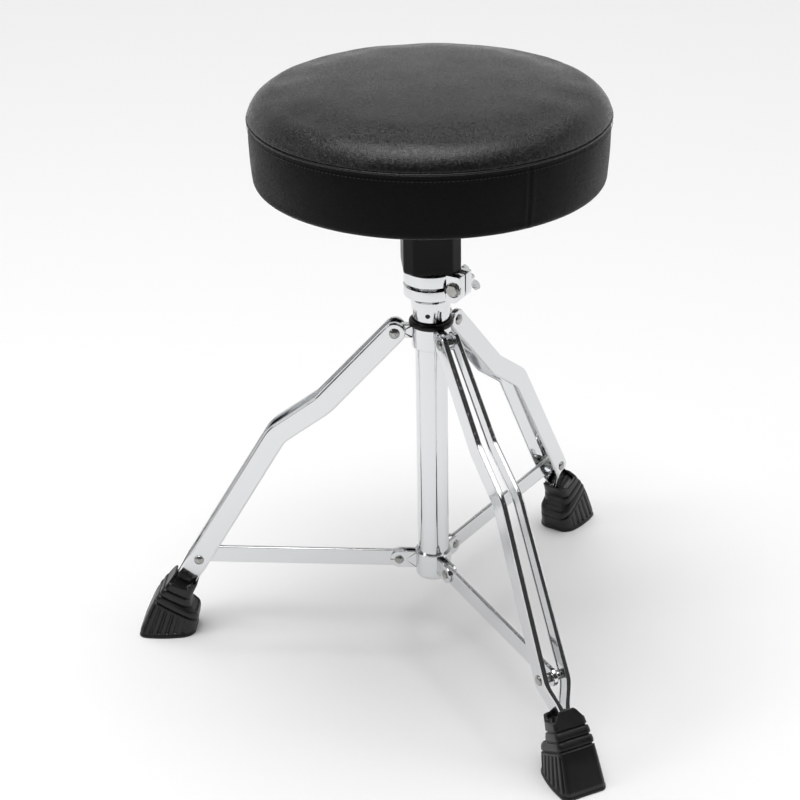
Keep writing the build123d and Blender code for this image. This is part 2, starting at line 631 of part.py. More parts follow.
def all_nodes():
    makers = [main_tube, post_bush, lower_collar, lower_collar_rivets, clamp_casting, set_screw,
              clamp_bolt, clamp_washer, wing_nut, crown_bush, crown_collar, post_tube, post_end_plug,
              post_top_plug, thrust_washer, hub, hub_screws, seat_plate, plate_screws, dust_cover,
              cover_staples, seat_board, tee_nuts, seat_foam, seat_side_band, seat_welt, seat_top_cover]
    nodes = {maker.__name__: maker() for maker in makers}
    for name, azimuth in LEG_AZIMUTHS.items():
        nodes.update(leg_nodes(name, azimuth))
    return nodes


os.makedirs("parts", exist_ok=True)
for node, shape in all_nodes().items():
    export_step(shape, f"parts/{node}.step")
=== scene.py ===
# %% [markdown]
# # A drum throne
# A drummer's stool: a round padded seat on a post that turns and can be raised, held by a chrome
# tripod that folds.  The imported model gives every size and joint.  This script only dresses it:
# each visible piece becomes a finer surface, worked out from a formula, with its own finish.

# %% Load the fixed frame
import json
import math

import bmesh
import bpy
import numpy as np
from mathutils import Matrix, Vector


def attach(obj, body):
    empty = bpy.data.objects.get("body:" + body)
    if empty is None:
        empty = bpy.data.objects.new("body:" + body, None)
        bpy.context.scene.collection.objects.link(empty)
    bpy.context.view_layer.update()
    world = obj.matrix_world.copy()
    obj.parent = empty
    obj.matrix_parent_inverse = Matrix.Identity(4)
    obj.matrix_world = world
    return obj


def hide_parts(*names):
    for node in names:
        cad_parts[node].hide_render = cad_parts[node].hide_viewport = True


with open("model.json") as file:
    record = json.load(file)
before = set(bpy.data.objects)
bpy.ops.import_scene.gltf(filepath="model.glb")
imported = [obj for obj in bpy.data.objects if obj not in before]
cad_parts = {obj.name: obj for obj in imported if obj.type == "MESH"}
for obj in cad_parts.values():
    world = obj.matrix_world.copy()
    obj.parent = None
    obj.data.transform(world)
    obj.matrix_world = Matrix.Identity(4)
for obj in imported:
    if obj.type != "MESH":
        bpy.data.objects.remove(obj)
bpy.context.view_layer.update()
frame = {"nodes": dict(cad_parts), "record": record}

MM = 0.001
LEGS = {"left": 180.0, "front": 300.0, "rear": 60.0}

# %% [markdown]
# ## The camera
# The picture is taken from a little above seat height, so the seat's top and all three feet show.
# A long lens keeps the column nearly parallel to the picture's sides.  The camera's three axes are
# built from its heading, its downward pitch and a slight roll, because that is easier to read than
# three Euler angles.

# %% Camera
def camera_axes(heading, pitch, roll):
    """Forward, right and up: forward is turned by heading from +Y and tipped down by pitch,
    then right and up are rolled about it.  All angles are in degrees."""
    h, p, r = np.radians([heading, pitch, roll])
    forward = np.array([np.sin(h) * np.cos(p), np.cos(h) * np.cos(p), -np.sin(p)])
    level = np.array([np.cos(h), -np.sin(h), 0.0])
    upright = np.cross(level, forward)
    right = np.cos(r) * level + np.sin(r) * upright
    up = np.cos(r) * upright - np.sin(r) * level
    return forward, right, up


def add_camera(place, heading, pitch, roll, lens):
    """A camera whose -Z looks forward and whose +Y is up."""
    forward, right, up = camera_axes(heading, pitch, roll)
    data = bpy.data.cameras.new("camera")
    data.lens, data.sensor_width = lens, 36.0
    camera = bpy.data.objects.new("camera", data)
    turn = Matrix(np.column_stack([right, up, -forward]).tolist())
    camera.matrix_world = Matrix.Translation(place) @ turn.to_4x4()
    bpy.context.scene.collection.objects.link(camera)
    bpy.context.scene.camera = camera


add_camera(place=(0.0932, -1.7122, 1.1293), heading=-4.1525, pitch=26.661, roll=-1.027, lens=88.94)
print("camera set")

# %% [markdown]
# ## Surfaces from arrays
# Every new piece is a grid of points, row by row.  One helper turns a grid into a mesh, and can close
# it round either direction.  A second makes a smooth outline from a few corners: each corner becomes
# an arc that touches both of its sides, which is how a real edge is broken.

# %% Grid and outline helpers
def mesh_object(name, points, faces):
    """A smooth-shaded mesh object from an (n, 3) array in metres and an (m, 4) array of corners.
    Corners that fall together, as at a pole or along a seam, are merged."""
    mesh = bpy.data.meshes.new(name)
    mesh.vertices.add(len(points))
    mesh.vertices.foreach_set("co", np.asarray(points, np.float32).ravel())
    mesh.loops.add(faces.size)
    mesh.loops.foreach_set("vertex_index", faces.astype(np.int32).ravel())
    mesh.polygons.add(len(faces))
    mesh.polygons.foreach_set("loop_start", np.arange(0, faces.size, 4, dtype=np.int32))
    mesh.update(calc_edges=True)
    merged = bmesh.new()
    merged.from_mesh(mesh)
    bmesh.ops.remove_doubles(merged, verts=merged.verts, dist=2e-6)
    bmesh.ops.recalc_face_normals(merged, faces=merged.faces)
    merged.to_mesh(mesh)
    merged.free()
    mesh.polygons.foreach_set("use_smooth", np.ones(len(mesh.polygons), bool))
    mesh.update()
    piece = bpy.data.objects.new(name, mesh)
    bpy.context.scene.collection.objects.link(piece)
    return piece


def grid_faces(rows, columns, close_rows=False, close_columns=False):
    """The quads of a rows x columns grid of points, joined end to end where asked."""
    i = np.arange(rows if close_rows else rows - 1)
    j = np.arange(columns if close_columns else columns - 1)
    i, j = np.meshgrid(i, j, indexing="ij")
    i2, j2 = (i + 1) % rows, (j + 1) % columns
    quads = np.stack([i * columns + j, i2 * columns + j, i2 * columns + j2, i * columns + j2], -1)
    return quads.reshape(-1, 4)


def grid_piece(name, grid, close_rows=False, close_columns=False):
    """A mesh object from a (rows, columns, 3) array in millimetres."""
    rows, columns = grid.shape[:2]
    faces = grid_faces(rows, columns, close_rows, close_columns)
    return mesh_object(name, grid.reshape(-1, 3) * MM, faces)


def rounded(corners, radii, steps=5, closed=False):
    """A polyline whose corners are arcs.  At each corner the arc of the given radius starts at
    radius / tan(half the inner angle) before it and ends as far after it."""
    corners = np.asarray(corners, float)
    radii = np.broadcast_to(np.asarray(radii, float), len(corners))
    out = []
    for k, here in enumerate(corners):
        ends = not closed and k in (0, len(corners) - 1)
        if ends or radii[k] <= 0:
            out.append(here[None])
            continue
        to_last = corners[k - 1] - here
        to_next = corners[(k + 1) % len(corners)] - here
        to_last = to_last / np.linalg.norm(to_last)
        to_next = to_next / np.linalg.norm(to_next)
        half = np.arccos(np.clip(to_last @ to_next, -1, 1)) / 2
        reach = radii[k] / np.tan(half)
        middle = (to_last + to_next) / np.linalg.norm(to_last + to_next)
        centre = here + middle * radii[k] / np.sin(half)
        a, b = here + to_last * reach - centre, here + to_next * reach - centre
        turn = np.linspace(0, 1, steps + 1)[:, None]
        sweep = np.pi - 2 * half
        arc = (np.sin((1 - turn) * sweep) * a + np.sin(turn * sweep) * b) / np.sin(sweep)
        out.append(centre + arc)
    return np.concatenate(out)


def lathe(name, outline, segments=96, closed=False):
    """A surface of revolution: the (radius, height) outline turned about the column's axis.
    x = r cos a, y = r sin a, z = h."""
    a = np.linspace(0, 2 * np.pi, segments, endpoint=False)[:, None]
    r, h = np.asarray(outline, float).T
    grid = np.stack([r * np.cos(a), r * np.sin(a), h + 0 * a], -1)
    return grid_piece(name, grid, close_rows=True, close_columns=closed)


def turned(points, degrees):
    """Points turned about the column's axis."""
    c, s = np.cos(np.radians(degrees)), np.sin(np.radians(degrees))
    return points @ np.array([[c, s, 0], [-s, c, 0], [0, 0, 1.0]])


def joined(name, pieces):
    """One object from several: their meshes are put together, as parts of one casting or group."""
    whole = bmesh.new()
    for piece in pieces:
        whole.from_mesh(piece.data)
        bpy.data.objects.remove(piece)
    mesh = bpy.data.meshes.new(name)
    whole.to_mesh(mesh)
    whole.free()
    result = bpy.data.objects.new(name, mesh)
    bpy.context.scene.collection.objects.link(result)
    return result


print("helpers ready")

# %% [markdown]
# ## Shader groups
# Several finishes share the same effects, so each effect is a node group that is built once: fine
# grain made of raised cells, soft uneven ripples, thin scratches, and a film of dust on faces that
# look up.  A group only puts out masks and heights.  The Principled shader stays in the material.

# %% Node group helpers
def new_group(name, inputs, outputs):
    """An empty shader group with named float inputs and float outputs."""
    group = bpy.data.node_groups.new(name, "ShaderNodeTree")
    for title, value in inputs.items():
        socket = group.interface.new_socket(title, in_out="INPUT", socket_type="NodeSocketFloat")
        socket.default_value = value
    for title in outputs:
        group.interface.new_socket(title, in_out="OUTPUT", socket_type="NodeSocketFloat")
    start = group.nodes.new("NodeGroupInput")
    end = group.nodes.new("NodeGroupOutput")
    return group, start, end


def put(tree, socket, value):
    """A link if the value is another socket, else a constant."""
    if isinstance(value, bpy.types.NodeSocket):
        tree.links.new(value, socket)
    else:
        socket.default_value = value


def feed(tree, target, **values):
    """Puts values on a node's inputs, by socket name."""
    for key, value in values.items():
        put(tree, target.inputs[key.replace("_", " ")], value)


def node(tree, kind, **values):
    """A new node, with its settings by name and its inputs by socket name."""
    made = tree.nodes.new(kind)
    for key, value in values.items():
        if hasattr(made, key):
            setattr(made, key, value)
        else:
            feed(tree, made, **{key: value})
    return made


def ramp(tree, source, low, high, dark=0.0, light=1.0):
    """A value stretched from low..high to dark..light and clamped there."""
    made = node(tree, "ShaderNodeMapRange")
    for socket, value in zip(made.inputs, (source, low, high, dark, light)):
        put(tree, socket, value)
    return made.outputs[0]


def swing(tree, noise, dark, light):
    """The middle span of a noise, where nearly all of it lies, stretched to dark..light."""
    return ramp(tree, noise, 0.3, 0.7, dark, light)


def maths(tree, operation, first, second=0.0):
    """One arithmetic step.  Each side is a socket or a number."""
    made = node(tree, "ShaderNodeMath", operation=operation)
    for socket, value in zip(made.inputs, (first, second)):
        put(tree, socket, value)
    return made.outputs[0]


def place(tree):
    """Object coordinates, so that a pattern stays on its piece."""
    return node(tree, "ShaderNodeTexCoord").outputs["Object"]


def coordinate(tree, axis):
    """One of the three object coordinates."""
    return node(tree, "ShaderNodeSeparateXYZ", Vector=place(tree)).outputs[axis]


# %% Vinyl grain: small raised cells with creases between them
def grain_group():
    """Height = distance to the nearest crease between cells, cut off at a plateau, on a warped
    grid of cells.  Crease is 1 on the line between two cells."""
    group, start, end = new_group("vinyl_grain", {"Cells per metre": 900.0}, ["Height", "Crease"])
    where = place(group)
    warp = node(group, "ShaderNodeTexNoise", Vector=where, Scale=260.0, Detail=1.0)
    shift = node(group, "ShaderNodeVectorMath", operation="SCALE", Scale=0.0012)
    put(group, shift.inputs[0], warp.outputs["Color"])
    moved = node(group, "ShaderNodeVectorMath", operation="ADD")
    put(group, moved.inputs[0], where)
    put(group, moved.inputs[1], shift.outputs[0])
    cells = node(group, "ShaderNodeTexVoronoi", feature="DISTANCE_TO_EDGE",
                 Vector=moved.outputs[0], Scale=start.outputs["Cells per metre"])
    distance = cells.outputs["Distance"]
    crease = ramp(group, distance, 0.0, 0.12, 1.0, 0.0)
    feed(group, end, Height=ramp(group, distance, 0.0, 0.34), Crease=crease)
    return group


# %% Ripples, scratches and dust
def ripple_group():
    """Slow unevenness: two octaves of noise, as plating over a casting or a stretched skin has."""
    group, start, end = new_group("soft_ripple", {"Scale": 60.0}, ["Height"])
    noise = node(group, "ShaderNodeTexNoise", Vector=place(group), Scale=start.outputs["Scale"],
                 Detail=1.5, Roughness=0.45)
    feed(group, end, Height=noise.outputs["Fac"])
    return group


def stretched_noise(tree, scale, detail):
    """Noise whose scale differs along the three object axes."""
    stretch = node(tree, "ShaderNodeMapping", Vector=place(tree), Scale=scale)
    noise = node(tree, "ShaderNodeTexNoise", Vector=stretch.outputs[0], Scale=1.0, Detail=detail)
    return noise.outputs["Fac"]


def scratch_group():
    """Thin scratches: noise stretched along one direction, kept only where it is high."""
    group, start, end = new_group("fine_scratches", {"Amount": 1.0}, ["Mask"])
    line = ramp(group, stretched_noise(group, (900.0, 900.0, 28.0), 2.0), 0.62, 0.72)
    feed(group, end, Mask=maths(group, "MULTIPLY", line, start.outputs["Amount"]))
    return group


def dust_group():
    """A thin film on faces that look up, broken into specks by noise."""
    group, start, end = new_group("dust_film", {"Amount": 0.2}, ["Mask"])
    surface = node(group, "ShaderNodeNewGeometry")
    split = node(group, "ShaderNodeSeparateXYZ", Vector=surface.outputs["Normal"])
    up = ramp(group, split.outputs["Z"], 0.2, 0.95)
    noise = node(group, "ShaderNodeTexNoise", Vector=place(group), Scale=320.0, Detail=4.0)
    film = maths(group, "MULTIPLY", up, ramp(group, noise.outputs["Fac"], 0.45, 0.75))
    feed(group, end, Mask=maths(group, "MULTIPLY", film, start.outputs["Amount"]))
    return group


GROUPS = {"grain": grain_group(), "ripple": ripple_group(), "scratches": scratch_group(),
          "dust": dust_group()}
print("shader groups:", sorted(GROUPS))

# %% [markdown]
# ## Finishes
# A finish starts from one helper, which makes a Principled shader with its constant values set on its
# own sockets.  Each finish then adds what changes over the surface: colour, roughness and bump.

# %% Material helpers
def new_material(name, colour, roughness, metallic=0.0, specular=0.5):
    """A material with one Principled shader, whose constant values sit on its sockets."""
    material = bpy.data.materials.new(name)
    material.use_nodes = True
    tree = material.node_tree
    shader = tree.nodes["Principled BSDF"]
    feed(tree, shader, Base_Color=(*colour, 1.0), Roughness=roughness, Metallic=metallic,
         Specular_IOR_Level=specular)
    material.diffuse_color = (*colour, 1.0)
    return material, tree, shader


def effect(tree, name, **values):
    """The outputs of one of the shared groups, with its own values."""
    made = tree.nodes.new("ShaderNodeGroup")
    made.node_tree = GROUPS[name]
    feed(tree, made, **values)
    return made.outputs


def bump(tree, height, depth, under=None, strength=1.0):
    """A bump of the given depth in metres, laid over another normal if there is one."""
    made = node(tree, "ShaderNodeBump", Strength=strength, Distance=depth, Height=height)
    if under is not None:
        feed(tree, made, Normal=under)
    return made.outputs["Normal"]


def mixed_colour(tree, mask, plain, marked):
    """A colour that goes from plain to marked as the mask goes from 0 to 1."""
    made = node(tree, "ShaderNodeMix", data_type="RGBA", Factor=mask)
    for socket, value in ((made.inputs[6], plain), (made.inputs[7], marked)):
        put(tree, socket, (*value, 1.0))
    return made.outputs[2]


def paler(colour, gain, lift=0.0):
    """A colour made lighter by a factor and a step."""
    return tuple(min(1.0, c * gain + lift) for c in colour)


# %% Chrome, smooth and cast
PLATE, PLATE_DUST = (0.72, 0.73, 0.74), (0.52, 0.51, 0.49)


def chrome(name, ripple_scale, ripple_depth, haze):
    """Bright plate: nearly a mirror, with a faint ripple, and a haze where it has been rubbed."""
    material, tree, shader = new_material(name, PLATE, 0.07, metallic=1.0)
    ripple = effect(tree, "ripple", Scale=ripple_scale)["Height"]
    scratches = effect(tree, "scratches", Amount=1.0)["Mask"]
    dust = effect(tree, "dust", Amount=0.35)["Mask"]
    rubbed = ramp(tree, ripple, 0.35, 0.7, 0.05, haze)
    lines = ramp(tree, scratches, 0.0, 1.0, 0.0, 0.10)
    rough = maths(tree, "ADD", maths(tree, "ADD", rubbed, lines), dust)
    normal = bump(tree, ripple, ripple_depth)
    normal = bump(tree, scratches, -0.000004, under=normal, strength=0.5)
    tint = mixed_colour(tree, dust, PLATE, PLATE_DUST)
    feed(tree, shader, Roughness=rough, Base_Color=tint, Normal=normal)
    return material


print("chrome ready, plate colour", PLATE)


# %% Vinyl
# The second colour is painted shade: a deeper black coloured into the creases of the grain.
VINYL_BLACK, VINYL_CREASE_SHADE = (0.004, 0.0042, 0.0044), (0.001, 0.001, 0.001)
VINYL_CELLS, VINYL_MOTTLE, VINYL_RIPPLE = 700.0, 0.00005, 0.0004


def vinyl(name, grain_depth, shine, gloss):
    """Soft black vinyl: raised grain, dull in the creases and darkened there by painted shade, with slow
    changes of sheen.
    """
    material, tree, shader = new_material(name, VINYL_BLACK, shine, specular=gloss)
    grain = effect(tree, "grain", Cells_per_metre=VINYL_CELLS)
    ripple = effect(tree, "ripple", Scale=24.0)["Height"]
    mottle = effect(tree, "ripple", Scale=420.0)["Height"]
    dust = effect(tree, "dust", Amount=0.05)["Mask"]
    slow = swing(tree, ripple, shine - 0.04, shine + 0.05)
    patchy = swing(tree, mottle, -0.05, 0.07)
    dull = ramp(tree, grain["Crease"], 0.0, 1.0, 0.0, 0.2)
    rough = maths(tree, "ADD", maths(tree, "ADD", slow, dull), maths(tree, "ADD", patchy, dust))
    normal = bump(tree, grain["Height"], grain_depth)
    normal = bump(tree, mottle, VINYL_MOTTLE, under=normal)
    normal = bump(tree, ripple, VINYL_RIPPLE, under=normal)
    # Painted shade: the creases between the grain's cells are coloured a deeper black than the vinyl.
    tint = mixed_colour(tree, grain["Crease"], VINYL_BLACK, VINYL_CREASE_SHADE)
    feed(tree, shader, Roughness=rough, Base_Color=tint, Normal=normal)
    return material


print("vinyl ready, cells per metre:", VINYL_CELLS)


# %% Rubber, plastic, painted and zinc-plated steel
def moulded(name, colour, roughness, texture_scale, texture_depth, dusting, specular=0.4):
    """Moulded black rubber or plastic: a fine pebbled skin, and dust on faces that look up."""
    material, tree, shader = new_material(name, colour, roughness, specular=specular)
    pebbles = effect(tree, "ripple", Scale=texture_scale)["Height"]
    blotches = effect(tree, "ripple", Scale=30.0)["Height"]
    dust = effect(tree, "dust", Amount=dusting)["Mask"]
    slow = swing(tree, blotches, roughness - 0.06, roughness + 0.08)
    tint = mixed_colour(tree, dust, colour, paler(colour, 3, 0.03))
    feed(tree, shader, Roughness=maths(tree, "ADD", slow, dust), Base_Color=tint,
         Normal=bump(tree, pebbles, texture_depth))
    return material


def zinc(name, colour):
    """Zinc-plated steel: satin, with scratches and a slightly yellow, uneven tone."""
    material, tree, shader = new_material(name, colour, 0.28, metallic=1.0)
    spots = effect(tree, "ripple", Scale=240.0)["Height"]
    scratches = effect(tree, "scratches", Amount=1.0)["Mask"]
    rough = maths(tree, "ADD", swing(tree, spots, 0.2, 0.42), scratches)
    yellowed = tuple(c * f for c, f in zip(colour, (0.95, 0.93, 0.86)))
    tint = mixed_colour(tree, ramp(tree, spots, 0.5, 0.75), colour, yellowed)
    feed(tree, shader, Roughness=rough, Base_Color=tint, Normal=bump(tree, spots, 0.00001))
    return material


# %% Plywood, cloth and thread
def wood(name):
    """Plywood: long stretched noise for the face grain."""
    material, tree, shader = new_material(name, (0.5, 0.34, 0.19), 0.7)
    figure = stretched_noise(tree, (6.0, 120.0, 300.0), 4.0)
    tint = mixed_colour(tree, figure, (0.58, 0.42, 0.25), (0.38, 0.24, 0.12))
    feed(tree, shader, Base_Color=tint, Normal=bump(tree, figure, 0.0002))
    return material


def cloth(name, colour):
    """Thin pressed cloth: fine dots in a square lattice, from two sine waves."""
    material, tree, shader = new_material(name, colour, 0.85, specular=0.2)
    waves = [maths(tree, "SINE", maths(tree, "MULTIPLY", coordinate(tree, axis), 4200.0))
             for axis in "XY"]
    dots = maths(tree, "MULTIPLY", *waves)
    tint = mixed_colour(tree, ramp(tree, dots, -1, 1), colour, paler(colour, 2.2, 0.01))
    feed(tree, shader, Base_Color=tint, Normal=bump(tree, dots, 0.00012))
    return material


def thread(name, colour):
    """Bonded thread: fine oblique stripes for its twist, from a sine of x and height."""
    material, tree, shader = new_material(name, colour, 0.5, specular=0.3)
    lean = maths(tree, "ADD", coordinate(tree, "X"), maths(tree, "MULTIPLY", coordinate(tree, "Z"), 0.7))
    twist = maths(tree, "SINE", maths(tree, "MULTIPLY", lean, 9000.0))
    tint = mixed_colour(tree, ramp(tree, twist, -1, 1), colour, paler(colour, 3))
    feed(tree, shader, Base_Color=tint, Normal=bump(tree, twist, 0.00006))
    return material


# %% The finishes
FINISH = {
    "chrome": chrome("chrome_plate", 35.0, 0.00005, 0.10),
    "cast_chrome": chrome("chrome_casting", 120.0, 0.00010, 0.14),
    "zinc_steel": zinc("zinc_steel", (0.42, 0.42, 0.41)),
    "black_steel": moulded("black_powder_coat", (0.006, 0.006, 0.006), 0.40, 1500.0, 0.00006, 0.1, 0.3),
    "hub_plastic": moulded("hub_plastic", (0.002, 0.002, 0.0021), 0.38, 1300.0, 0.00004, 0.03, 0.15),
    "bush_plastic": moulded("bush_nylon", (0.002, 0.002, 0.002), 0.30, 900.0, 0.00003, 0.04, 0.25),
    "foot_rubber": moulded("foot_rubber", (0.003, 0.003, 0.0031), 0.36, 1100.0, 0.00010, 0.12, 0.45),
    "vinyl_top": vinyl("vinyl_top", 0.00014, 0.17, 0.45),
    "vinyl_side": vinyl("vinyl_side", 0.00011, 0.34, 0.08),
    "vinyl_welt": vinyl("vinyl_seam", 0.00008, 0.26, 0.4),
    "foam": moulded("seat_foam", (0.6, 0.52, 0.36), 0.9, 700.0, 0.0004, 0.0, 0.2),
    "plywood": wood("plywood"),
    "dust_cloth": cloth("dust_cloth", (0.012, 0.012, 0.012)),
    "thread": thread("seam_thread", (0.01, 0.01, 0.01)),
}
print("finishes:", len(FINISH))

# %% [markdown]
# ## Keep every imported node, with a real finish
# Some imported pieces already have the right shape, such as screws inside the seat.  They stay, and only
# take the finish of their slot.  Those that are replaced later are hidden by the piece that stands
# for them.

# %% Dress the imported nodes
SLOT_OF = {row["node"]: row["material_slot"] for row in frame["record"]["subparts"]}


def dress(piece, slot):
    """Gives a piece the one finish of a slot."""
    piece.data.materials.clear()
    piece.data.materials.append(FINISH[slot])
    return piece


for title, packed in frame["nodes"].items():
    dress(packed, SLOT_OF[title])


def stands_for(piece, body, *nodes):
    """The piece rides on a body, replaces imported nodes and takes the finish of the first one."""
    slot = SLOT_OF[nodes[0]]
    dress(piece, slot)
    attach(piece, body)
    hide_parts(*nodes)
    return piece


print("dressed", len(frame["nodes"]), "nodes")


# %% [markdown]
# ## Slabs, bands and turned parts
# Most of the metalwork is one of three things.  A slab is an outline with thickness and rounded rims,
# such as an ear or a knuckle.  A band follows a bent centre path, with a cross-section that is carried
# round its whole edge.  A turned part is a profile swept round an axis, such as a rivet.  Each is one
# grid, so it is closed and smooth, and its rims can be rounded exactly.

# %% Slab helper
def held(corners, radii, steps=5, closed=False, hold=0.3):
    """A rounded outline with an extra point just before and after each arc, so that the flats
    stay flat in a mirror finish."""
    corners = np.asarray(corners, float)
    radii = np.broadcast_to(np.asarray(radii, float), len(corners))
    line = rounded(corners, radii, steps, closed)
    step = np.roll(line, -1, 0) - line
    if not closed:
        step = step[:-1]
    length = np.linalg.norm(step, axis=1)
    out = []
    for k, size in enumerate(length):
        out.append(line[k])
        if size > 4 * hold:
            out.append(line[k] + step[k] / size * hold)
            out.append(line[k] + step[k] / size * (size - hold))
    if not closed:
        out.append(line[-1])
    return np.array(out)


def outward(outline):
    """Unit normals of a closed outline, from the chord between each point's neighbours."""
    chord = np.roll(outline, -1, 0) - np.roll(outline, 1, 0)
    normal = np.stack([chord[:, 1], -chord[:, 0]], 1)
    normal /= np.linalg.norm(normal, axis=1, keepdims=True)
    spread = outline - outline.mean(0)
    return normal * np.sign((normal * spread).sum())


def slab(outline, low, high, edge):
    """A grid for a plate: at each outline point the rim goes from the middle of one face, round
    the edge, to the middle of the other.  Points are (a, b, height between low and high)."""
    rim = held([(2 * edge, high), (0, high), (0, low), (2 * edge, low)], [0, edge, edge, 0], 4)
    inset, height = rim.T
    normal = outward(outline)
    ring = outline[:, None, :] - inset[None, :, None] * normal[:, None, :]
    middle = np.broadcast_to(outline.mean(0), (len(outline), 1, 2))
    plane = np.concatenate([middle, ring, middle], 1)
    height = np.concatenate([[high], height, [low]])
    height = np.broadcast_to(height[None, :, None], (*plane.shape[:2], 1))
    return np.concatenate([plane, height], 2)


def leg_side(grid, azimuth):
    """From a leg's own (distance, height, sideways) to the row frame, turned to its azimuth."""
    points = np.stack([grid[..., 0], grid[..., 2], grid[..., 1]], -1)
    return turned(points, azimuth)


def around_axis(profile, segments=48):
    """A grid for a turned part: (radius, along) swept round an axis.  a, b are across it."""
    angle = np.linspace(0, 2 * np.pi, segments, endpoint=False)[:, None]
    radius, along = np.asarray(profile, float).T
    return np.stack([radius * np.cos(angle), radius * np.sin(angle), along + 0 * angle], -1)


print("slab and turning helpers ready")

# %% [markdown]
# ## Column, collars and rings
# The column is a chromed steel tube.  A pressed cup closes its foot and carries the struts between
# pairs of ears.  A cast collar slides on it and carries the legs on three knuckles, and above that
# sits a thick black nylon ring that the clamp's sleeve rests in.  All of these are turned, so a lathe
# function makes them, and slabs add the ears and knuckles.

# %% Column
def tube_piece(name, body, outer, inner, low, high):
    """A tube on the column's axis with slightly broken rims."""
    outline = held([(inner, low), (outer, low), (outer, high), (inner, high)], 0.4, 3, closed=True)
    return stands_for(lathe(name, outline, closed=True), body, name.replace("_visual", ""))


tube_piece("main_tube_visual", "column", outer=15.5, inner=14.05, low=76.0, high=404.0)
tube_piece("post_tube_visual", "post", outer=12.7, inner=11.2, low=152.0, high=470.0)
print("tubes made")


# %% Crown: collar with three knuckles, and its black ring
CROWN_PIVOT = (34.7, 342.5)
STRUT_PIVOT = (34.4, 89.7)
LEG_PIVOT = (237.0, 89.7)


def lug_outline(start, centre, half):
    """A tongue seen from its side: square at its root, half round at its end."""
    r, z = centre
    corners = [(start, z - half), (r + half, z - half), (r + half, z + half), (start, z + half)]
    return held(corners, [0.4, half * 0.999, half * 0.999, 0.4], 14, closed=True)


def lug_pieces(start, centre, half, sides, edge):
    """Tongues at each leg's azimuth; sides are the (from, to) spans across the leg."""
    outline = lug_outline(start, centre, half)
    grids = [slab(outline, low, high, edge) for low, high in sides]
    return [grid_piece("lug", leg_side(grid, azimuth), close_rows=True)
            for azimuth in LEGS.values() for grid in grids]


def crown_collar_piece():
    """The sliding collar and its knuckles."""
    wall = held([(16.6, 327.4), (18.9, 327.4), (18.9, 349.4), (16.6, 349.4)],
                [0.3, 1.3, 0.6, 0.3], 4, closed=True)
    ring = lathe("ring", wall, closed=True)
    knuckles = lug_pieces(17.6, CROWN_PIVOT, 6.9, [(-3.9, 3.9)], 0.9)
    return stands_for(joined("crown_collar_visual", [ring] + knuckles), "crown", "crown_collar")


def crown_ring_piece():
    """The black ring: a fat lip with a seat for the sleeve, and a liner below it."""
    outline = held([(15.56, 327.4), (16.58, 327.4), (16.58, 349.4), (21.4, 349.4), (21.4, 355.6),
                    (17.8, 355.6), (17.8, 353.1), (15.56, 353.1)],
                   [0.1, 0.1, 0.05, 2.3, 2.6, 0.5, 0.2, 0.2], 6, closed=True)
    return stands_for(lathe("crown_ring_visual", outline, closed=True), "crown", "crown_bush")


def lower_collar_piece():
    """The cup under the tube, with a pair of ears for each strut."""
    wall = held([(0, 72.4), (18.1, 72.4), (18.1, 101.2), (15.52, 101.2), (15.52, 76.0), (0, 76.0)],
                [0, 5.0, 0.9, 0.4, 0.5, 0], 6)
    cup = lathe("cup", wall)
    ears = lug_pieces(16.5, STRUT_PIVOT, 9.0, [(2.55, 5.05), (-5.05, -2.55)], 0.5)
    return stands_for(joined("lower_collar_visual", [cup] + ears), "column", "lower_collar")


crown_collar_piece()
crown_ring_piece()
lower_collar_piece()
print("collars made")

# %% [markdown]
# ## Rivets and spacers
# Every pivot is a rivet with a low domed head on each side.  A head is a circular arc turned round
# the pivot, with a small flat rim, so that a mirror finish shows a bright spot and a dark crescent.

# %% Rivets
def dome(radius, height, face, steps=7):
    """Half a head's profile: from its rim on the face, over an arc, to the middle."""
    ball = (radius ** 2 + (height - 0.5) ** 2) / (2 * (height - 0.5))
    angle = np.linspace(np.arcsin(radius / ball), 0, steps)
    arc = np.stack([ball * np.sin(angle), face + height - ball + ball * np.cos(angle)], 1)
    return np.concatenate([[(radius, face), (radius, face + 0.25)], arc])


def rivet_profile(parts, pin):
    """A pin with a head at each end: parts are (head radius, head height, face)."""
    head_radius, height, face = parts
    top = dome(head_radius, height, face)
    half = np.concatenate([[(pin, face)], top])
    return np.concatenate([(half * (1, -1))[::-1], half])


def pin_piece(profile, centre, azimuth, name="pin"):
    """A turned part whose axis crosses a leg at a (distance, height) point."""
    grid = around_axis(profile)
    grid = grid + np.array([centre[0], centre[1], 0])
    return grid_piece(name, leg_side(grid, azimuth), close_rows=True)


def spacer_profile(side):
    """A headed spacer in one strip: a collar inside the channel and a dome outside it."""
    outside = dome(5.0, 2.3, 14.2)
    half = np.concatenate([[(0, 2.55), (4.3, 2.55), (4.6, 2.85), (4.6, 12.3), (3.0, 12.3),
                            (3.0, 14.2)], outside])
    return half * (1, side)


for leg, azimuth in LEGS.items():
    top = pin_piece(rivet_profile((5.2, 2.4, 9.5), 3.0), CROWN_PIVOT, azimuth, f"{leg}_top_rivet_visual")
    stands_for(top, f"{leg}_leg", f"{leg}_leg_top_rivet")
    pair = [pin_piece(spacer_profile(side), LEG_PIVOT, azimuth) for side in (1, -1)]
    stands_for(joined(f"{leg}_spacers_visual", pair), f"{leg}_leg", f"{leg}_leg_pivot_spacers")
low = [pin_piece(rivet_profile((4.6, 2.2, 5.05), 2.5), STRUT_PIVOT, a) for a in LEGS.values()]
stands_for(joined("lower_rivets_visual", low), "column", "lower_collar_rivets")
print("rivets made")

# %% [markdown]
# ## Legs and struts
# Each leg is a pair of pressed steel strips with turned-in edges.  In side view a strip is a band of
# constant width that follows a centre path with two soft bends.  So the surface's first parameter
# runs round the band's whole edge, and the second goes across a C-shaped section, from the middle of
# the outer face, round the turned edge, to the middle of the inner face.  The strips then spread
# apart down the leg, and pinch together just above the foot.

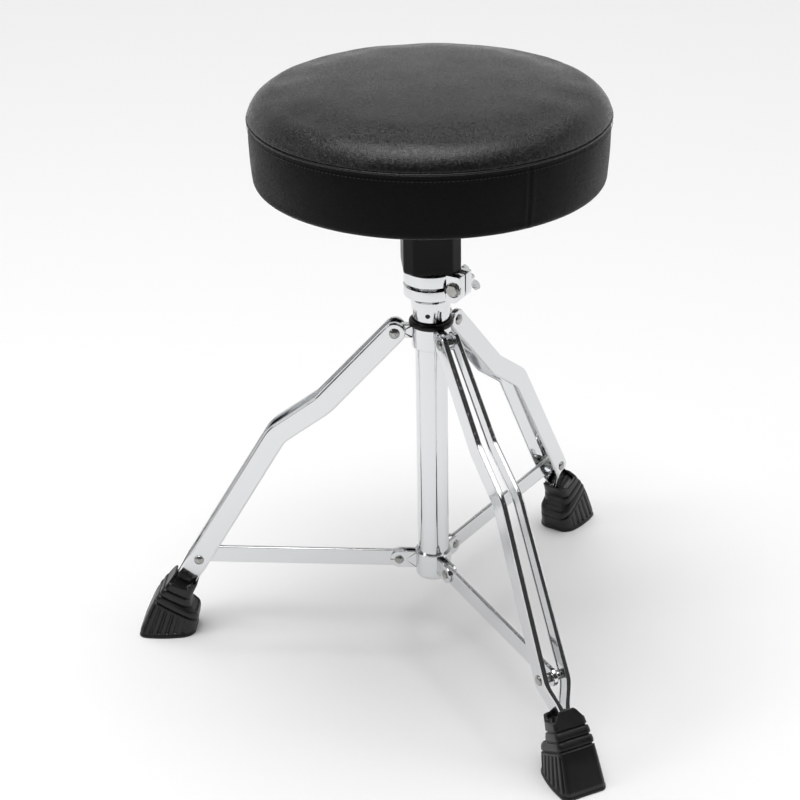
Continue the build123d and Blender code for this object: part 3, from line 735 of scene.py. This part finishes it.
# %% Band along a path
def lengths(line):
    """How far each point of a polyline is along it."""
    return np.concatenate([[0], np.cumsum(np.linalg.norm(np.diff(line, axis=0), axis=1))])


def evenly(line, count):
    """The given number of points, evenly spaced along a polyline."""
    at = np.linspace(0, lengths(line)[-1], count)
    return np.stack([np.interp(at, lengths(line), line[:, k]) for k in range(2)], 1)


def resampled(line, step):
    """Points about a step apart along a polyline."""
    return evenly(line, int(np.ceil(lengths(line)[-1] / step)) + 1)


def band_loop(path, cap_steps=16):
    """The centre point and the outward direction for each step round a band's edge: along one
    side, round the end, back along the other side and round the start."""
    tangent = np.gradient(path, axis=0)
    tangent /= np.linalg.norm(tangent, axis=1, keepdims=True)
    left = np.stack([-tangent[:, 1], tangent[:, 0]], 1)
    turn = np.linspace(0, np.pi, cap_steps + 1)[1:-1, None]
    end_cap = np.cos(turn) * left[-1] + np.sin(turn) * tangent[-1]
    start_cap = -np.cos(turn) * left[0] - np.sin(turn) * tangent[0]
    centre = np.concatenate([path, np.repeat(path[-1:], len(turn), 0),
                             path[::-1], np.repeat(path[:1], len(turn), 0)])
    away = np.concatenate([left, end_cap, -left[::-1], start_cap])
    return centre, away


def band(path, section):
    """point = centre + distance x outward direction; section is (distance, depth)."""
    centre, away = band_loop(path)
    distance, depth = np.asarray(section, float).T
    plane = centre[:, None] + distance[None, :, None] * away[:, None]
    depth = np.broadcast_to(depth[None, :, None], (*plane.shape[:2], 1))
    return np.concatenate([plane, depth], 2)


def smoothstep(x, low, high):
    """0 below low, 1 above high, and an S-curve between."""
    t = np.clip((x - low) / (high - low), 0, 1)
    return t * t * (3 - 2 * t)


print("band helpers ready")


# %% Leg strips
LOWER_BEND = (152.3, 231.5)
LEG_WAY = (np.array(LEG_PIVOT) - LOWER_BEND) / np.linalg.norm(np.array(LEG_PIVOT) - LOWER_BEND)
LEG_OUT = np.array([-LEG_WAY[1], LEG_WAY[0]])


def along_leg(distance, outwards=0.0):
    """A (distance, height) point below the strut pivot, along the lower leg."""
    return np.array(LEG_PIVOT) + distance * LEG_WAY + outwards * LEG_OUT


def strip_face(plane):
    """How far a strip's outer face is from the leg's middle: it grows evenly from the top pivot to
    the strut pivot, and falls in an S-curve to where the foot takes it."""
    chord = np.array(LEG_PIVOT) - CROWN_PIVOT
    share = (plane - CROWN_PIVOT) @ chord / (chord @ chord)
    below = (plane - LEG_PIVOT) @ LEG_WAY
    spread = 9.4 + 4.7 * np.minimum(share, 1.0)
    return spread - (spread - 5.8) * smoothstep(below, 2.0, 35.0)


STRIP_PATH = resampled(rounded([CROWN_PIVOT, (105.6, 265.1), LOWER_BEND, along_leg(41.4)],
                               [0, 26.0, 26.0, 0], 16), 2.6)
SHEET = 1.5
STRIP_SECTION = held([(0, 0), (10.5, 0), (10.5, 5.0), (9.0, 5.0), (9.0, SHEET), (0, SHEET)],
                     [0, 1.7, 0.55, 0.55, 0.8, 0], 5)
STRUT_SECTION = held([(0, 2.25), (9.0, 2.25), (9.0, -2.25), (0, -2.25)], [0, 1.2, 1.2, 0], 5)


def strip_piece(leg, mark, side, azimuth):
    """One pressed strip; side is +1 or -1 across the leg.  Its edge is turned in all round, but
    less along the under side."""
    grid = band(STRIP_PATH, STRIP_SECTION)
    under = smoothstep(-(band_loop(STRIP_PATH)[1] @ LEG_OUT), 0.2, 0.9)[:, None]
    turned_in = np.maximum(grid[..., 2] - SHEET, 0)
    grid[..., 2] -= 0.8 * under * turned_in
    grid[..., 2] = side * (strip_face(grid[..., :2]) - grid[..., 2])
    piece = grid_piece(f"{leg}_strip_{mark}_visual", leg_side(grid, azimuth), close_rows=True)
    return stands_for(piece, f"{leg}_leg", f"{leg}_leg_strip_{mark}")


def strut_piece(leg, azimuth):
    """The flat bar from the lower collar to the leg."""
    path = resampled(np.array([STRUT_PIVOT, LEG_PIVOT]), 6.0)
    piece = grid_piece(f"{leg}_strut_visual", leg_side(band(path, STRUT_SECTION), azimuth), close_rows=True)
    return stands_for(piece, f"{leg}_brace", f"{leg}_strut")


for leg, azimuth in LEGS.items():
    strip_piece(leg, "a", 1, azimuth)
    strip_piece(leg, "b", -1, azimuth)
    strut_piece(leg, azimuth)
print("strips and struts made, path points:", len(STRIP_PATH))

# %% [markdown]
# ## Rubber feet
# A foot is a moulded rubber boot: a wedge with a flat sole, a long toe face that carries on the
# leg's slope, a waisted heel, three grooves all round its ankle and upright ribs low on its sides.
# It could be carved from a block, but every section of it is a rounded rectangle, so it is lofted.
# The first parameter goes round a section, the second down from the rim to the sole.  The grooves,
# ribs and sole lip are small moves along the surface's own normal.  Its mouth turns inwards to a
# sloping collar with a slot that holds the ends of both strips.

# %% Foot
GROOVES_AT = (48.0, 57.0, 66.0)
GROOVE_DEPTH, BELLOWS, RIB_DEPTH, SOLE_LIP = 1.9, 0.5, 2.2, 0.7
RIM_HALF = 13.2


def pulse(x, centre, width, soft):
    """1 within half a width of the centre, falling softly to 0."""
    away = np.abs(x - centre)
    return 1 - smoothstep(away, width / 2, width / 2 + soft)


def foot_lines(count=400):
    """The toe line and the heel line in side view, each from the rim to the sole."""
    toe = rounded([along_leg(31.5, RIM_HALF), (287.5, 41.0), (302.6, 7.0), (303.2, 0.0)],
                  [0, 120, 6, 0], 24)
    heel = rounded([along_leg(32.5, -RIM_HALF), (250.4, 38.5), (250.2, 33.0), (243.0, 26.0),
                    (243.4, 17.0), (247.4, 0.0)], [0, 12, 4, 2.5, 6, 0], 10)
    return [evenly(line, count) for line in (toe, heel)]


def foot_grid(around=300, down=130):
    """The outer skin: rounded rectangles between the toe line and the heel line."""
    unit = rounded([(1, -1), (1, 1), (-1, 0.82), (-1, -0.82)], [0.22, 0.22, 0.42, 0.42], 10, closed=True)
    x, w = evenly(np.concatenate([unit, unit[:1]]), around + 1)[:-1].T
    toe, heel = foot_lines()
    flank = smoothstep(np.abs(w), 0.5, 0.98) * smoothstep(x, -0.8, -0.45)
    start = 0.115 * flank[:, None]
    t = np.linspace(0, 1, down)[None, :]
    v = start + (1 - start) * t
    at = np.linspace(0, 1, len(toe))
    toe_r, toe_z = [np.interp(v, at, toe[:, k]) for k in range(2)]
    heel_r, heel_z = [np.interp(v, at, heel[:, k]) for k in range(2)]
    share = (x[:, None] + 1) / 2
    r = heel_r + share * (toe_r - heel_r)
    z = heel_z + share * (toe_z - heel_z)
    bulge = 1 + (0.06 + 0.12 * v ** 2) * (1 - x[:, None] ** 2)
    half = (15.4 + 6.2 * v + 0.6 * np.sin(np.pi * v)) * bulge
    skin = np.stack([r, w[:, None] * half, z], -1)
    return skin, x, w


def foot_relief(skin, x, w):
    """Grooves, ribs and the sole's lip, as moves along the skin's normal."""
    round_way = np.roll(skin, -1, 0) - np.roll(skin, 1, 0)
    down_way = np.gradient(skin, axis=1)
    normal = np.cross(round_way, down_way)
    normal /= np.linalg.norm(normal, axis=-1, keepdims=True)
    centre = skin.mean(0, keepdims=True)
    normal *= np.sign(((skin - centre) * normal).sum())
    side = skin[..., [0, 2]] - np.array(LEG_PIVOT)
    down_leg = side @ LEG_WAY
    z = skin[..., 2]
    grooves = sum(pulse(down_leg, at, 1.0, 0.7) for at in GROOVES_AT)
    between = (down_leg > GROOVES_AT[0]) * (down_leg < GROOVES_AT[-1])
    pitch = GROOVES_AT[1] - GROOVES_AT[0]
    bellows = np.sin(np.pi * (down_leg - GROOVES_AT[0]) / pitch) ** 2 * between
    flank = smoothstep(np.abs(w), 0.80, 0.92)[:, None] * smoothstep(0.90 - np.abs(x), 0.0, 0.03)[:, None]
    ribs = 0.5 + 0.5 * np.cos(2 * np.pi * (x + 0.88) / 1.76 * 6)
    ribs = smoothstep(ribs, 0.55, 0.78)[:, None]
    window = smoothstep(down_leg, 68.5, 70.0) * smoothstep(z, 4.0, 5.4)
    lip = 1 - smoothstep(z, 2.6, 3.2)
    move = BELLOWS * bellows - GROOVE_DEPTH * grooves + SOLE_LIP * lip
    move = move - RIB_DEPTH * flank * ribs * window
    return skin + normal * move[..., None]


def foot_mouth(skin, x, w):
    """Rings that go on from the rim: over the lip, down inside the wall, up a sloping collar to the
    strips, down their slot, and to a closing point."""
    rim = skin[:, 0]
    depth = (rim[:, [0, 2]] - np.array(LEG_PIVOT)) @ LEG_WAY

    def ring(down, half_out, half_side):
        """A ring at a distance down the leg, with its half sizes."""
        plane = np.array(LEG_PIVOT) + down[:, None] * LEG_WAY
        plane = plane + (x * half_out)[:, None] * LEG_OUT
        return np.stack([plane[:, 0], w / 1.05 * half_side, plane[:, 1]], -1)

    flat = np.zeros_like(depth)
    rings = [ring(depth - 0.7, 12.7, 15.0), ring(depth - 0.9, 12.2, 14.4), ring(depth - 0.6, 11.6, 13.8),
             ring(depth + 0.3, 11.3, 13.4), ring(depth + 4.0, 11.1, 13.0), ring(depth + 4.6, 11.05, 12.4),
             ring(flat + 36.1, 10.95, 6.9), ring(flat + 35.7, 10.9, 6.5), ring(flat + 36.3, 10.85, 6.25),
             ring(flat + 53.0, 10.8, 6.2), ring(flat + 53.2, 0.0, 0.0)]
    return np.stack(rings[::-1], 1)


def foot_piece(leg, azimuth):
    """Mouth, skin and sole in one closed grid."""
    skin, x, w = foot_grid()
    skin = foot_relief(skin, x, w)
    mouth = foot_mouth(skin, x, w)
    edge = skin[:, -1:] * (1, 1, 0)
    heart = np.array([275.0, 0, 0])
    sole = [heart + (edge - heart) * share for share in (0.985, 0.9, 0.88, 0.0)]
    sole = [ring + (0, 0, lift) for ring, lift in zip(sole, (0.0, 0.0, 1.2, 1.2))]
    skin[:, -1, 2] = 0.5
    grid = np.concatenate([mouth, skin] + sole, 1)
    piece = grid_piece(f"{leg}_foot_visual", turned(grid, azimuth), close_rows=True)
    return stands_for(piece, f"{leg}_leg", f"{leg}_foot")


for leg, azimuth in LEGS.items():
    foot_piece(leg, azimuth)
print("feet made")

# %% [markdown]
# ## Hub
# Under the seat is a moulded plastic block: square with cut corners and softly rounded lower edges,
# ending in a flange that is screwed to the seat plate.  Every level of it is a star-shaped outline,
# so it is a loft in polar form: radius as a function of angle, for each height.

# %% Hub
def polar(outline, angle):
    """The radius of a closed outline at each angle, by linear interpolation."""
    bearing = np.arctan2(outline[:, 1], outline[:, 0])
    order = np.argsort(bearing)
    radius = np.linalg.norm(outline, axis=1)[order]
    return np.interp(angle, bearing[order], radius, period=2 * np.pi)


def hub_piece():
    """A blind bore for the post, the block with its cut corners, and the flange."""
    angle = np.linspace(-np.pi, np.pi, 240, endpoint=False)
    cut, half = 18.0, 27.0
    corners = [(half, -cut), (half, cut), (cut, half), (-cut, half),
               (-half, cut), (-half, -cut), (-cut, -half), (cut, -half)]
    block = polar(resampled(rounded(corners + corners[:1], 3.0, 8), 0.5), angle)
    plate = polar(resampled(rounded([(42, 0), (42, 42), (-42, 42), (-42, -42), (42, -42), (42, 0)],
                                    [0, 14, 14, 14, 14, 0], 10), 0.5), angle)
    bore = 12.8 + 0 * angle
    levels = [(0 * angle, 473.2), (bore, 473.2), (bore, 409.6), (bore + 0.6, 409.0)]
    for turn in np.linspace(0, np.pi / 2, 7):
        levels.append((block - 3.2 * (1 - np.sin(turn)), 409.0 + 3.2 * (1 - np.cos(turn))))
    levels += [(block, 412.6), (block, 484.0), (block + 0.5, 485.8), (block + 2.2, 486.8)]
    levels += [(plate - 1.2, 486.8), (plate - 0.3, 487.1), (plate, 488.0), (plate, 493.9)]
    levels += [(plate - 0.9, 494.8), (0 * angle, 494.8)]
    radius = np.array([row[0] for row in levels]).T
    height = np.broadcast_to(np.array([row[1] for row in levels]), radius.shape)
    grid = np.stack([radius * np.cos(angle)[:, None], radius * np.sin(angle)[:, None], height], -1)
    piece = grid_piece("hub_visual", turned(grid, 8.0), close_rows=True)
    return stands_for(piece, "seat", "hub")


hub_piece()
print("hub made")

# %% [markdown]
# ## Clamp and wing nut
# The height clamp is a casting with slots and a bored lug.  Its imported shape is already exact, so a
# copy is welded and its sharp edges are broken with a bevel, as tumbling and plating leave them.

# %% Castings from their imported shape
def eased_copy(title, body, width):
    """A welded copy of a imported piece, with its sharp edges beveled."""
    copy = frame["nodes"][title].copy()
    copy.data = copy.data.copy()
    copy.name = f"{title}_visual"
    copy.parent = None
    for key in list(copy.keys()):
        del copy[key]
    bpy.context.scene.collection.objects.link(copy)
    shape = bmesh.new()
    shape.from_mesh(copy.data)
    bmesh.ops.remove_doubles(shape, verts=shape.verts, dist=2e-6)
    bmesh.ops.dissolve_degenerate(shape, edges=shape.edges, dist=1e-6)
    shape.to_mesh(copy.data)
    shape.free()
    copy.data.polygons.foreach_set("use_smooth", np.ones(len(copy.data.polygons), bool))
    bevel = copy.modifiers.new("broken_edges", "BEVEL")
    bevel.width, bevel.segments = width * MM, 3
    bevel.limit_method, bevel.angle_limit = "ANGLE", math.radians(35)
    bevel.harden_normals = True
    bevel.use_clamp_overlap = True
    return stands_for(copy, body, title)


eased_copy("clamp_casting", "column", 0.7)
eased_copy("clamp_bolt", "column", 0.35)
eased_copy("clamp_washer", "column", 0.25)
eased_copy("wing_nut", "clamp_nut", 0.5)
print("clamp pieces eased")

# %% [markdown]
# ## The cushion
# The seat is foam on a plywood board, under a cover of two vinyl panels: a crowned top, and a side
# band that is turned in under the board.  A smooth closed surface of revolution gives its measured
# shape.  Cloth simulation then shows how the skin swells between the seam and the board when the foam
# pushes on it.  The swelling is worked out on a coarse remeshed copy and carried over to the fine
# surface as a smoothed field, so the seam and the fine grid stay crisp.

# %% Cushion outline
SEAM_Z = 560.4
SEAT_RIM, SEAT_TOP, HEM, BOARD_RIM = 165.0, 588.5, 147.0, 158.2


def top_line(count=64):
    """The top panel from the seam to the middle: a tangent arc at the shoulder, then a flat arc."""
    flat_radius, shoulder = 1500.0, 144.0
    lean = np.arcsin(shoulder / flat_radius)
    start = np.array([shoulder, SEAT_TOP - flat_radius * (1 - np.cos(lean))])
    finish = np.array([SEAT_RIM, SEAM_Z + 0.9])
    way = np.array([np.cos(lean), -np.sin(lean)])
    chord = finish - start
    normal = np.array([-way[1], way[0]])
    radius = -(chord @ chord) / (2 * chord @ normal)
    centre = start - normal * radius
    sweep = 2 * np.arcsin(np.linalg.norm(chord) / (2 * radius))
    turn = np.linspace(sweep, 0, count // 2)[:, None]
    arc = centre + radius * (np.cos(turn) * normal + np.sin(turn) * way)
    slope = np.linspace(lean, 0, count // 2 + 1)[1:, None]
    crown = np.concatenate([flat_radius * np.sin(slope), SEAT_TOP - flat_radius * (1 - np.cos(slope))], 1)
    return np.concatenate([arc, crown])


def side_line(count=26):
    """The side band from its turned-in hem, round the bottom edge, up to the seam.  It swells a
    little between the two, as a half sine."""
    edge = rounded([(HEM, 498.5), (162.0, 498.5), (164.6, SEAM_Z - 2.4)], [0, 6.5, 0], 8)
    low = edge[-2]
    t = np.linspace(0, 1, count)[1:, None]
    rise = low + t * (edge[-1] - low)
    rise = rise + np.sin(np.pi * t) * np.array([0.9, 0])
    return np.concatenate([edge[:-1], rise])


def cushion_line():
    """The whole outline, from the middle of the foam's underside to the middle of the top.  At the
    seam the two panels are folded in against each other."""
    inside = [(0, 513.2), (BOARD_RIM - 0.2, 513.2), (BOARD_RIM, 513.0), (BOARD_RIM, 499.9),
              (BOARD_RIM - 0.2, 499.7), (HEM + 0.2, 499.7), (HEM, 499.5), (HEM, 498.7)]
    fold = [(165.25, SEAM_Z - 1.9), (165.35, SEAM_Z - 1.3), (165.0, SEAM_Z - 0.7), (163.7, SEAM_Z - 0.25),
            (162.6, SEAM_Z), (163.9, SEAM_Z + 0.25)]
    outer = np.concatenate([side_line(), fold, top_line()])
    return np.concatenate([inside, outer]), len(inside)


CUSHION_LINE, INSIDE = cushion_line()
print("cushion outline points:", len(CUSHION_LINE))


# %% Swelling by cloth simulation
CLOTH_FRAMES = 20
BOARD_HOLDS_TO = 504.0      # below this height the skin is stapled to the board


def swelling(line, cap):
    """How far each point of a simulated skin has moved: its rest points and its moves, in mm."""
    shrunk = line * (0.992, 1.0) - (0, 1.5)
    form = lathe("swell_form", np.concatenate([[(0, 500.0)], shrunk]), 160)
    remesh = form.modifiers.new("remesh", "REMESH")
    remesh.mode, remesh.voxel_size = "VOXEL", 0.0055
    bpy.context.view_layer.objects.active = form
    bpy.ops.object.modifier_apply(modifier=remesh.name)
    count = len(form.data.vertices)
    rest = np.empty(count * 3, np.float32)
    form.data.vertices.foreach_get("co", rest)
    rest = rest.reshape(-1, 3) / MM
    radius = np.hypot(rest[:, 0], rest[:, 1])
    sewn = (np.abs(rest[:, 2] - SEAM_Z + 1.5) < 4.0) & (radius > 155)
    held_down = (rest[:, 2] < BOARD_HOLDS_TO) | sewn
    group = form.vertex_groups.new(name="held")
    group.add(np.nonzero(held_down)[0].tolist(), 1.0, "REPLACE")
    cloth_modifier = form.modifiers.new("cloth", "CLOTH")
    settings = cloth_modifier.settings
    settings.vertex_group_mass = "held"
    settings.quality = 4
    settings.use_pressure = True
    settings.uniform_pressure_force = 4.0
    settings.effector_weights.gravity = 0.0
    settings.tension_stiffness = settings.compression_stiffness = 25.0
    settings.bending_stiffness = 2.0
    scene = bpy.context.scene
    for step in range(1, CLOTH_FRAMES + 1):
        scene.frame_set(step)
    shaped = form.evaluated_get(bpy.context.evaluated_depsgraph_get()).to_mesh()
    after = np.empty(count * 3, np.float32)
    shaped.vertices.foreach_get("co", after)
    move = after.reshape(-1, 3) / MM - rest
    size = np.linalg.norm(move, axis=1, keepdims=True)
    move *= np.minimum(1.0, cap / np.maximum(size, 1e-9))
    scene.frame_set(1)
    bpy.data.objects.remove(form)
    return rest, move


def carried_over(points, rest, move, reach=9.0):
    """Each point's move: the mean of the simulated moves, weighted by a bell curve of distance."""
    out = np.empty_like(points)
    for start in range(0, len(points), 1500):
        block = points[start:start + 1500]
        gap = ((block[:, None] - rest[None]) ** 2).sum(2)
        weight = np.exp(-gap / (2 * reach ** 2)) + 1e-12
        out[start:start + 1500] = weight @ move / weight.sum(1, keepdims=True)
    return out


print("skin held below", BOARD_HOLDS_TO, "mm for", CLOTH_FRAMES, "steps")


# %% Cushion
SIDE_SEAM_AT = -56.0
SEGMENTS, SPARSE = 640, 8      # steps round the seat, and how many of them share one carried-over move
MOST_SWELLING, SWELLING_SHARE = 5.0, 0.6


def swollen(points):
    """The skin moved by the simulated swelling, which fades out at the seam.  The field is worked
    out on every eighth ray and spread evenly between them."""
    rest, move = swelling(CUSHION_LINE[INSIDE + 2:], MOST_SWELLING)
    coarse = points[::SPARSE]
    field = carried_over(coarse.reshape(-1, 3), rest, move).reshape(coarse.shape)
    print("swelling, mm: most", np.abs(field).max().round(2), "rows", field.shape)
    turns = np.arange(SEGMENTS) / SPARSE
    low = np.floor(turns).astype(int) % len(coarse)
    share = (turns - np.floor(turns))[:, None, None]
    fine = field[low] * (1 - share) + field[(low + 1) % len(coarse)] * share
    outside = np.hypot(*points[..., :2].T).T > 150
    near_seam = np.exp(-(((points[..., 2] - SEAM_Z) / 5.0) ** 2)) * outside
    return points + fine * (1 - near_seam)[..., None] * SWELLING_SHARE


def puckers(a, level):
    """Small gathers on both sides of the seam: three sines of the turn, dying away from it."""
    pucker = np.sin(a * 144) + 0.6 * np.sin(a * 89 + 1.3) + 0.5 * np.sin(a * 53 + 0.4)
    above = np.exp(-np.abs(level - 3.5) / 4.5) * (level > 0.5)
    below = np.exp(-np.abs(level + 5) / 4.0) * (level < -2)
    return 0.13 * pucker * (above + 0.7 * below)


def upright_seam(a, level):
    """A sunk line with a raised lap beside it, where the side band's two ends meet."""
    off = np.abs((np.degrees(a) - SIDE_SEAM_AT + 180) % 360 - 180) * np.pi / 180 * 164
    groove = -1.0 * np.exp(-(off / 0.9) ** 2) + 0.45 * np.exp(-((off - 3.2) / 2.0) ** 2)
    return groove * smoothstep(level, -60.0, -57.0) * (1 - smoothstep(level, -3.0, -1.6))


def slow_waves(a, z, level):
    """Long shallow waves on the side band, as a stretched skin has."""
    slow = np.sin(a * 5 + z / 30) * 0.25 + np.sin(a * 9 - z / 17) * 0.15
    return slow * smoothstep(level, -60.0, -50.0) * (1 - smoothstep(level, -12.0, -2.0))


def two_vinyls(piece):
    """Glossier vinyl above the seam, duller vinyl below it."""
    dress(piece, "vinyl_top")
    piece.data.materials.append(FINISH["vinyl_side"])
    centres = np.empty(len(piece.data.polygons) * 3, np.float32)
    piece.data.polygons.foreach_get("center", centres)
    below = centres.reshape(-1, 3)[:, 2] < SEAM_Z * MM
    piece.data.polygons.foreach_set("material_index", below.astype(np.int32))


def cushion_piece():
    """Fine grid + swelling + seam puckers + the upright seam + slow waves, all along the radius
    but the swelling."""
    a = np.linspace(0, 2 * np.pi, SEGMENTS, endpoint=False)[:, None]
    r, z = CUSHION_LINE.T
    grid = np.stack([r * np.cos(a), r * np.sin(a), z + 0 * a], -1)
    row = np.arange(len(CUSHION_LINE))
    outer = row >= INSIDE + 3
    grid[:, outer] = swollen(grid[:, outer])
    level = grid[..., 2] - SEAM_Z
    out = grid * (1, 1, 0)
    out = out / np.maximum(np.linalg.norm(out, axis=-1, keepdims=True), 1e-9)
    skin = outer & (row > INSIDE + 6)
    rim = np.hypot(grid[..., 0], grid[..., 1]) > 120
    move = puckers(a, level) * rim + upright_seam(a, level) + slow_waves(a, grid[..., 2], level)
    grid = grid + out * (move * skin)[..., None]
    piece = grid_piece("seat_cushion", grid, close_rows=True)
    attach(piece, "seat")
    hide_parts("seat_foam", "seat_side_band", "seat_top_cover")
    two_vinyls(piece)


cushion_piece()
print("cushion made")

# %% [markdown]
# ## Seam bead and topstitching
# The seam's edge shows as a thin ridge just under the top panel.  Below it runs one row of topstitch.
# The ridge is a thin ring, and each stitch is a small stretched ball with few faces, because there are
# hundreds of them.

# %% Seam bead and stitches
def bead_piece():
    """A ring of slightly uneven thickness in the seam: a circle swept round the seat."""
    a = np.linspace(0, 2 * np.pi, 720, endpoint=False)[:, None]
    b = np.linspace(0, 2 * np.pi, 12, endpoint=False)[None, :]
    size = 1.15 + 0.08 * np.sin(a * 144)
    r = 164.75 + size * np.cos(b)
    grid = np.stack([r * np.cos(a), r * np.sin(a), SEAM_Z - 1.1 + size * np.sin(b)], -1)
    piece = grid_piece("seam_bead", grid, close_rows=True, close_columns=True)
    return stands_for(piece, "seat", "seat_welt")


def stitches_piece(count=270, rows=6, columns=7):
    """Stretched balls on the side band: long way round the seat, sunk by half, leaning a little."""
    half_length, half_depth, half_height = 1.35, 0.32, 0.36
    turn = np.linspace(0, 2 * np.pi, count, endpoint=False)[:, None, None]
    a = np.linspace(0, np.pi, rows)[None, :, None]
    b = np.linspace(0, 2 * np.pi, columns, endpoint=False)[None, None, :]
    along_seat = half_length * np.cos(a) + 0 * b
    out = 165.35 + half_depth * np.sin(a) * np.cos(b)
    up = SEAM_Z - 7.0 + half_height * np.sin(a) * np.sin(b) + 0.12 * along_seat
    x = out * np.cos(turn) - along_seat * np.sin(turn)
    y = out * np.sin(turn) + along_seat * np.cos(turn)
    grid = np.stack([x, y, up + 0 * turn], -1)
    one = grid_faces(rows, columns, close_columns=True)
    faces = (one[None] + np.arange(count)[:, None, None] * rows * columns).reshape(-1, 4)
    piece = mesh_object("topstitching", grid.reshape(-1, 3) * MM, faces)
    dress(piece, "thread")
    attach(piece, "seat")


bead_piece()
stitches_piece()
print("seam made")

# %% [markdown]
# ## Studio
# A pale floor runs up to a bright backdrop, and a wide soft light fills the ceiling.  The wall on the
# camera's side is dark, so each chromed edge that mirrors it shows as a black line, while flat chrome
# mirrors the pale floor.  Colours are shown as they are, without a film curve, so black rubber stays
# black on a white floor.

# %% Studio
WALL_LIGHT, BACKDROP_LIGHT, CEILING_LIGHT = 0.05, 0.72, 3.7


def studio():
    """A pale floor, and a world of wall, backdrop and ceiling.  Its brightness is the greatest of
    the three: the backdrop grows with +Y and ends at 35 degrees up, the ceiling starts at 58."""
    bpy.ops.mesh.primitive_plane_add(size=14.0)
    floor = bpy.context.object
    floor.name = "floor"
    floor.data.materials.append(new_material("floor_paper", (0.86, 0.86, 0.86), 0.85, specular=0.2)[0])
    world = bpy.data.worlds.new("studio")
    bpy.context.scene.world = world
    world.use_nodes = True
    tree = world.node_tree
    where = node(tree, "ShaderNodeTexCoord").outputs["Generated"]
    split = node(tree, "ShaderNodeSeparateXYZ", Vector=where)
    behind = ramp(tree, split.outputs["Y"], 0.0, 0.4, 0.0, BACKDROP_LIGHT)
    low = ramp(tree, split.outputs["Z"], 0.45, 0.62, 1.0, 0.0)
    ceiling = ramp(tree, split.outputs["Z"], 0.84, 0.92, WALL_LIGHT, CEILING_LIGHT)
    light = maths(tree, "MAXIMUM", maths(tree, "MULTIPLY", behind, low), ceiling)
    seen = node(tree, "ShaderNodeLightPath").outputs["Is Camera Ray"]
    light = maths(tree, "MAXIMUM", light, maths(tree, "MULTIPLY", seen, 0.9))
    feed(tree, tree.nodes["Background"], Color=(1.0, 1.0, 1.0, 1.0), Strength=light)
    bpy.context.scene.view_settings.view_transform = "Standard"


def soft_light(name, place_at, aim, width, height, watts):
    """A rectangular light that faces a point."""
    data = bpy.data.lights.new(name, "AREA")
    data.shape, data.size, data.size_y, data.energy = "RECTANGLE", width, height, watts
    light = bpy.data.objects.new(name, data)
    light.location = place_at
    light.rotation_euler = (Vector(aim) - Vector(place_at)).to_track_quat("-Z", "Y").to_euler()
    bpy.context.scene.collection.objects.link(light)


studio()
soft_light("overhead", (-0.3, -0.3, 2.4), aim=(0, 0, 0.5), width=0.9, height=0.9, watts=9)
soft_light("key_left", (-2.2, -0.9, 1.9), aim=(0, 0, 0.4), width=0.9, height=1.3, watts=12)
soft_light("fill_right", (2.3, -0.4, 1.3), aim=(0, 0, 0.3), width=0.5, height=1.3, watts=5)
print("studio lit")
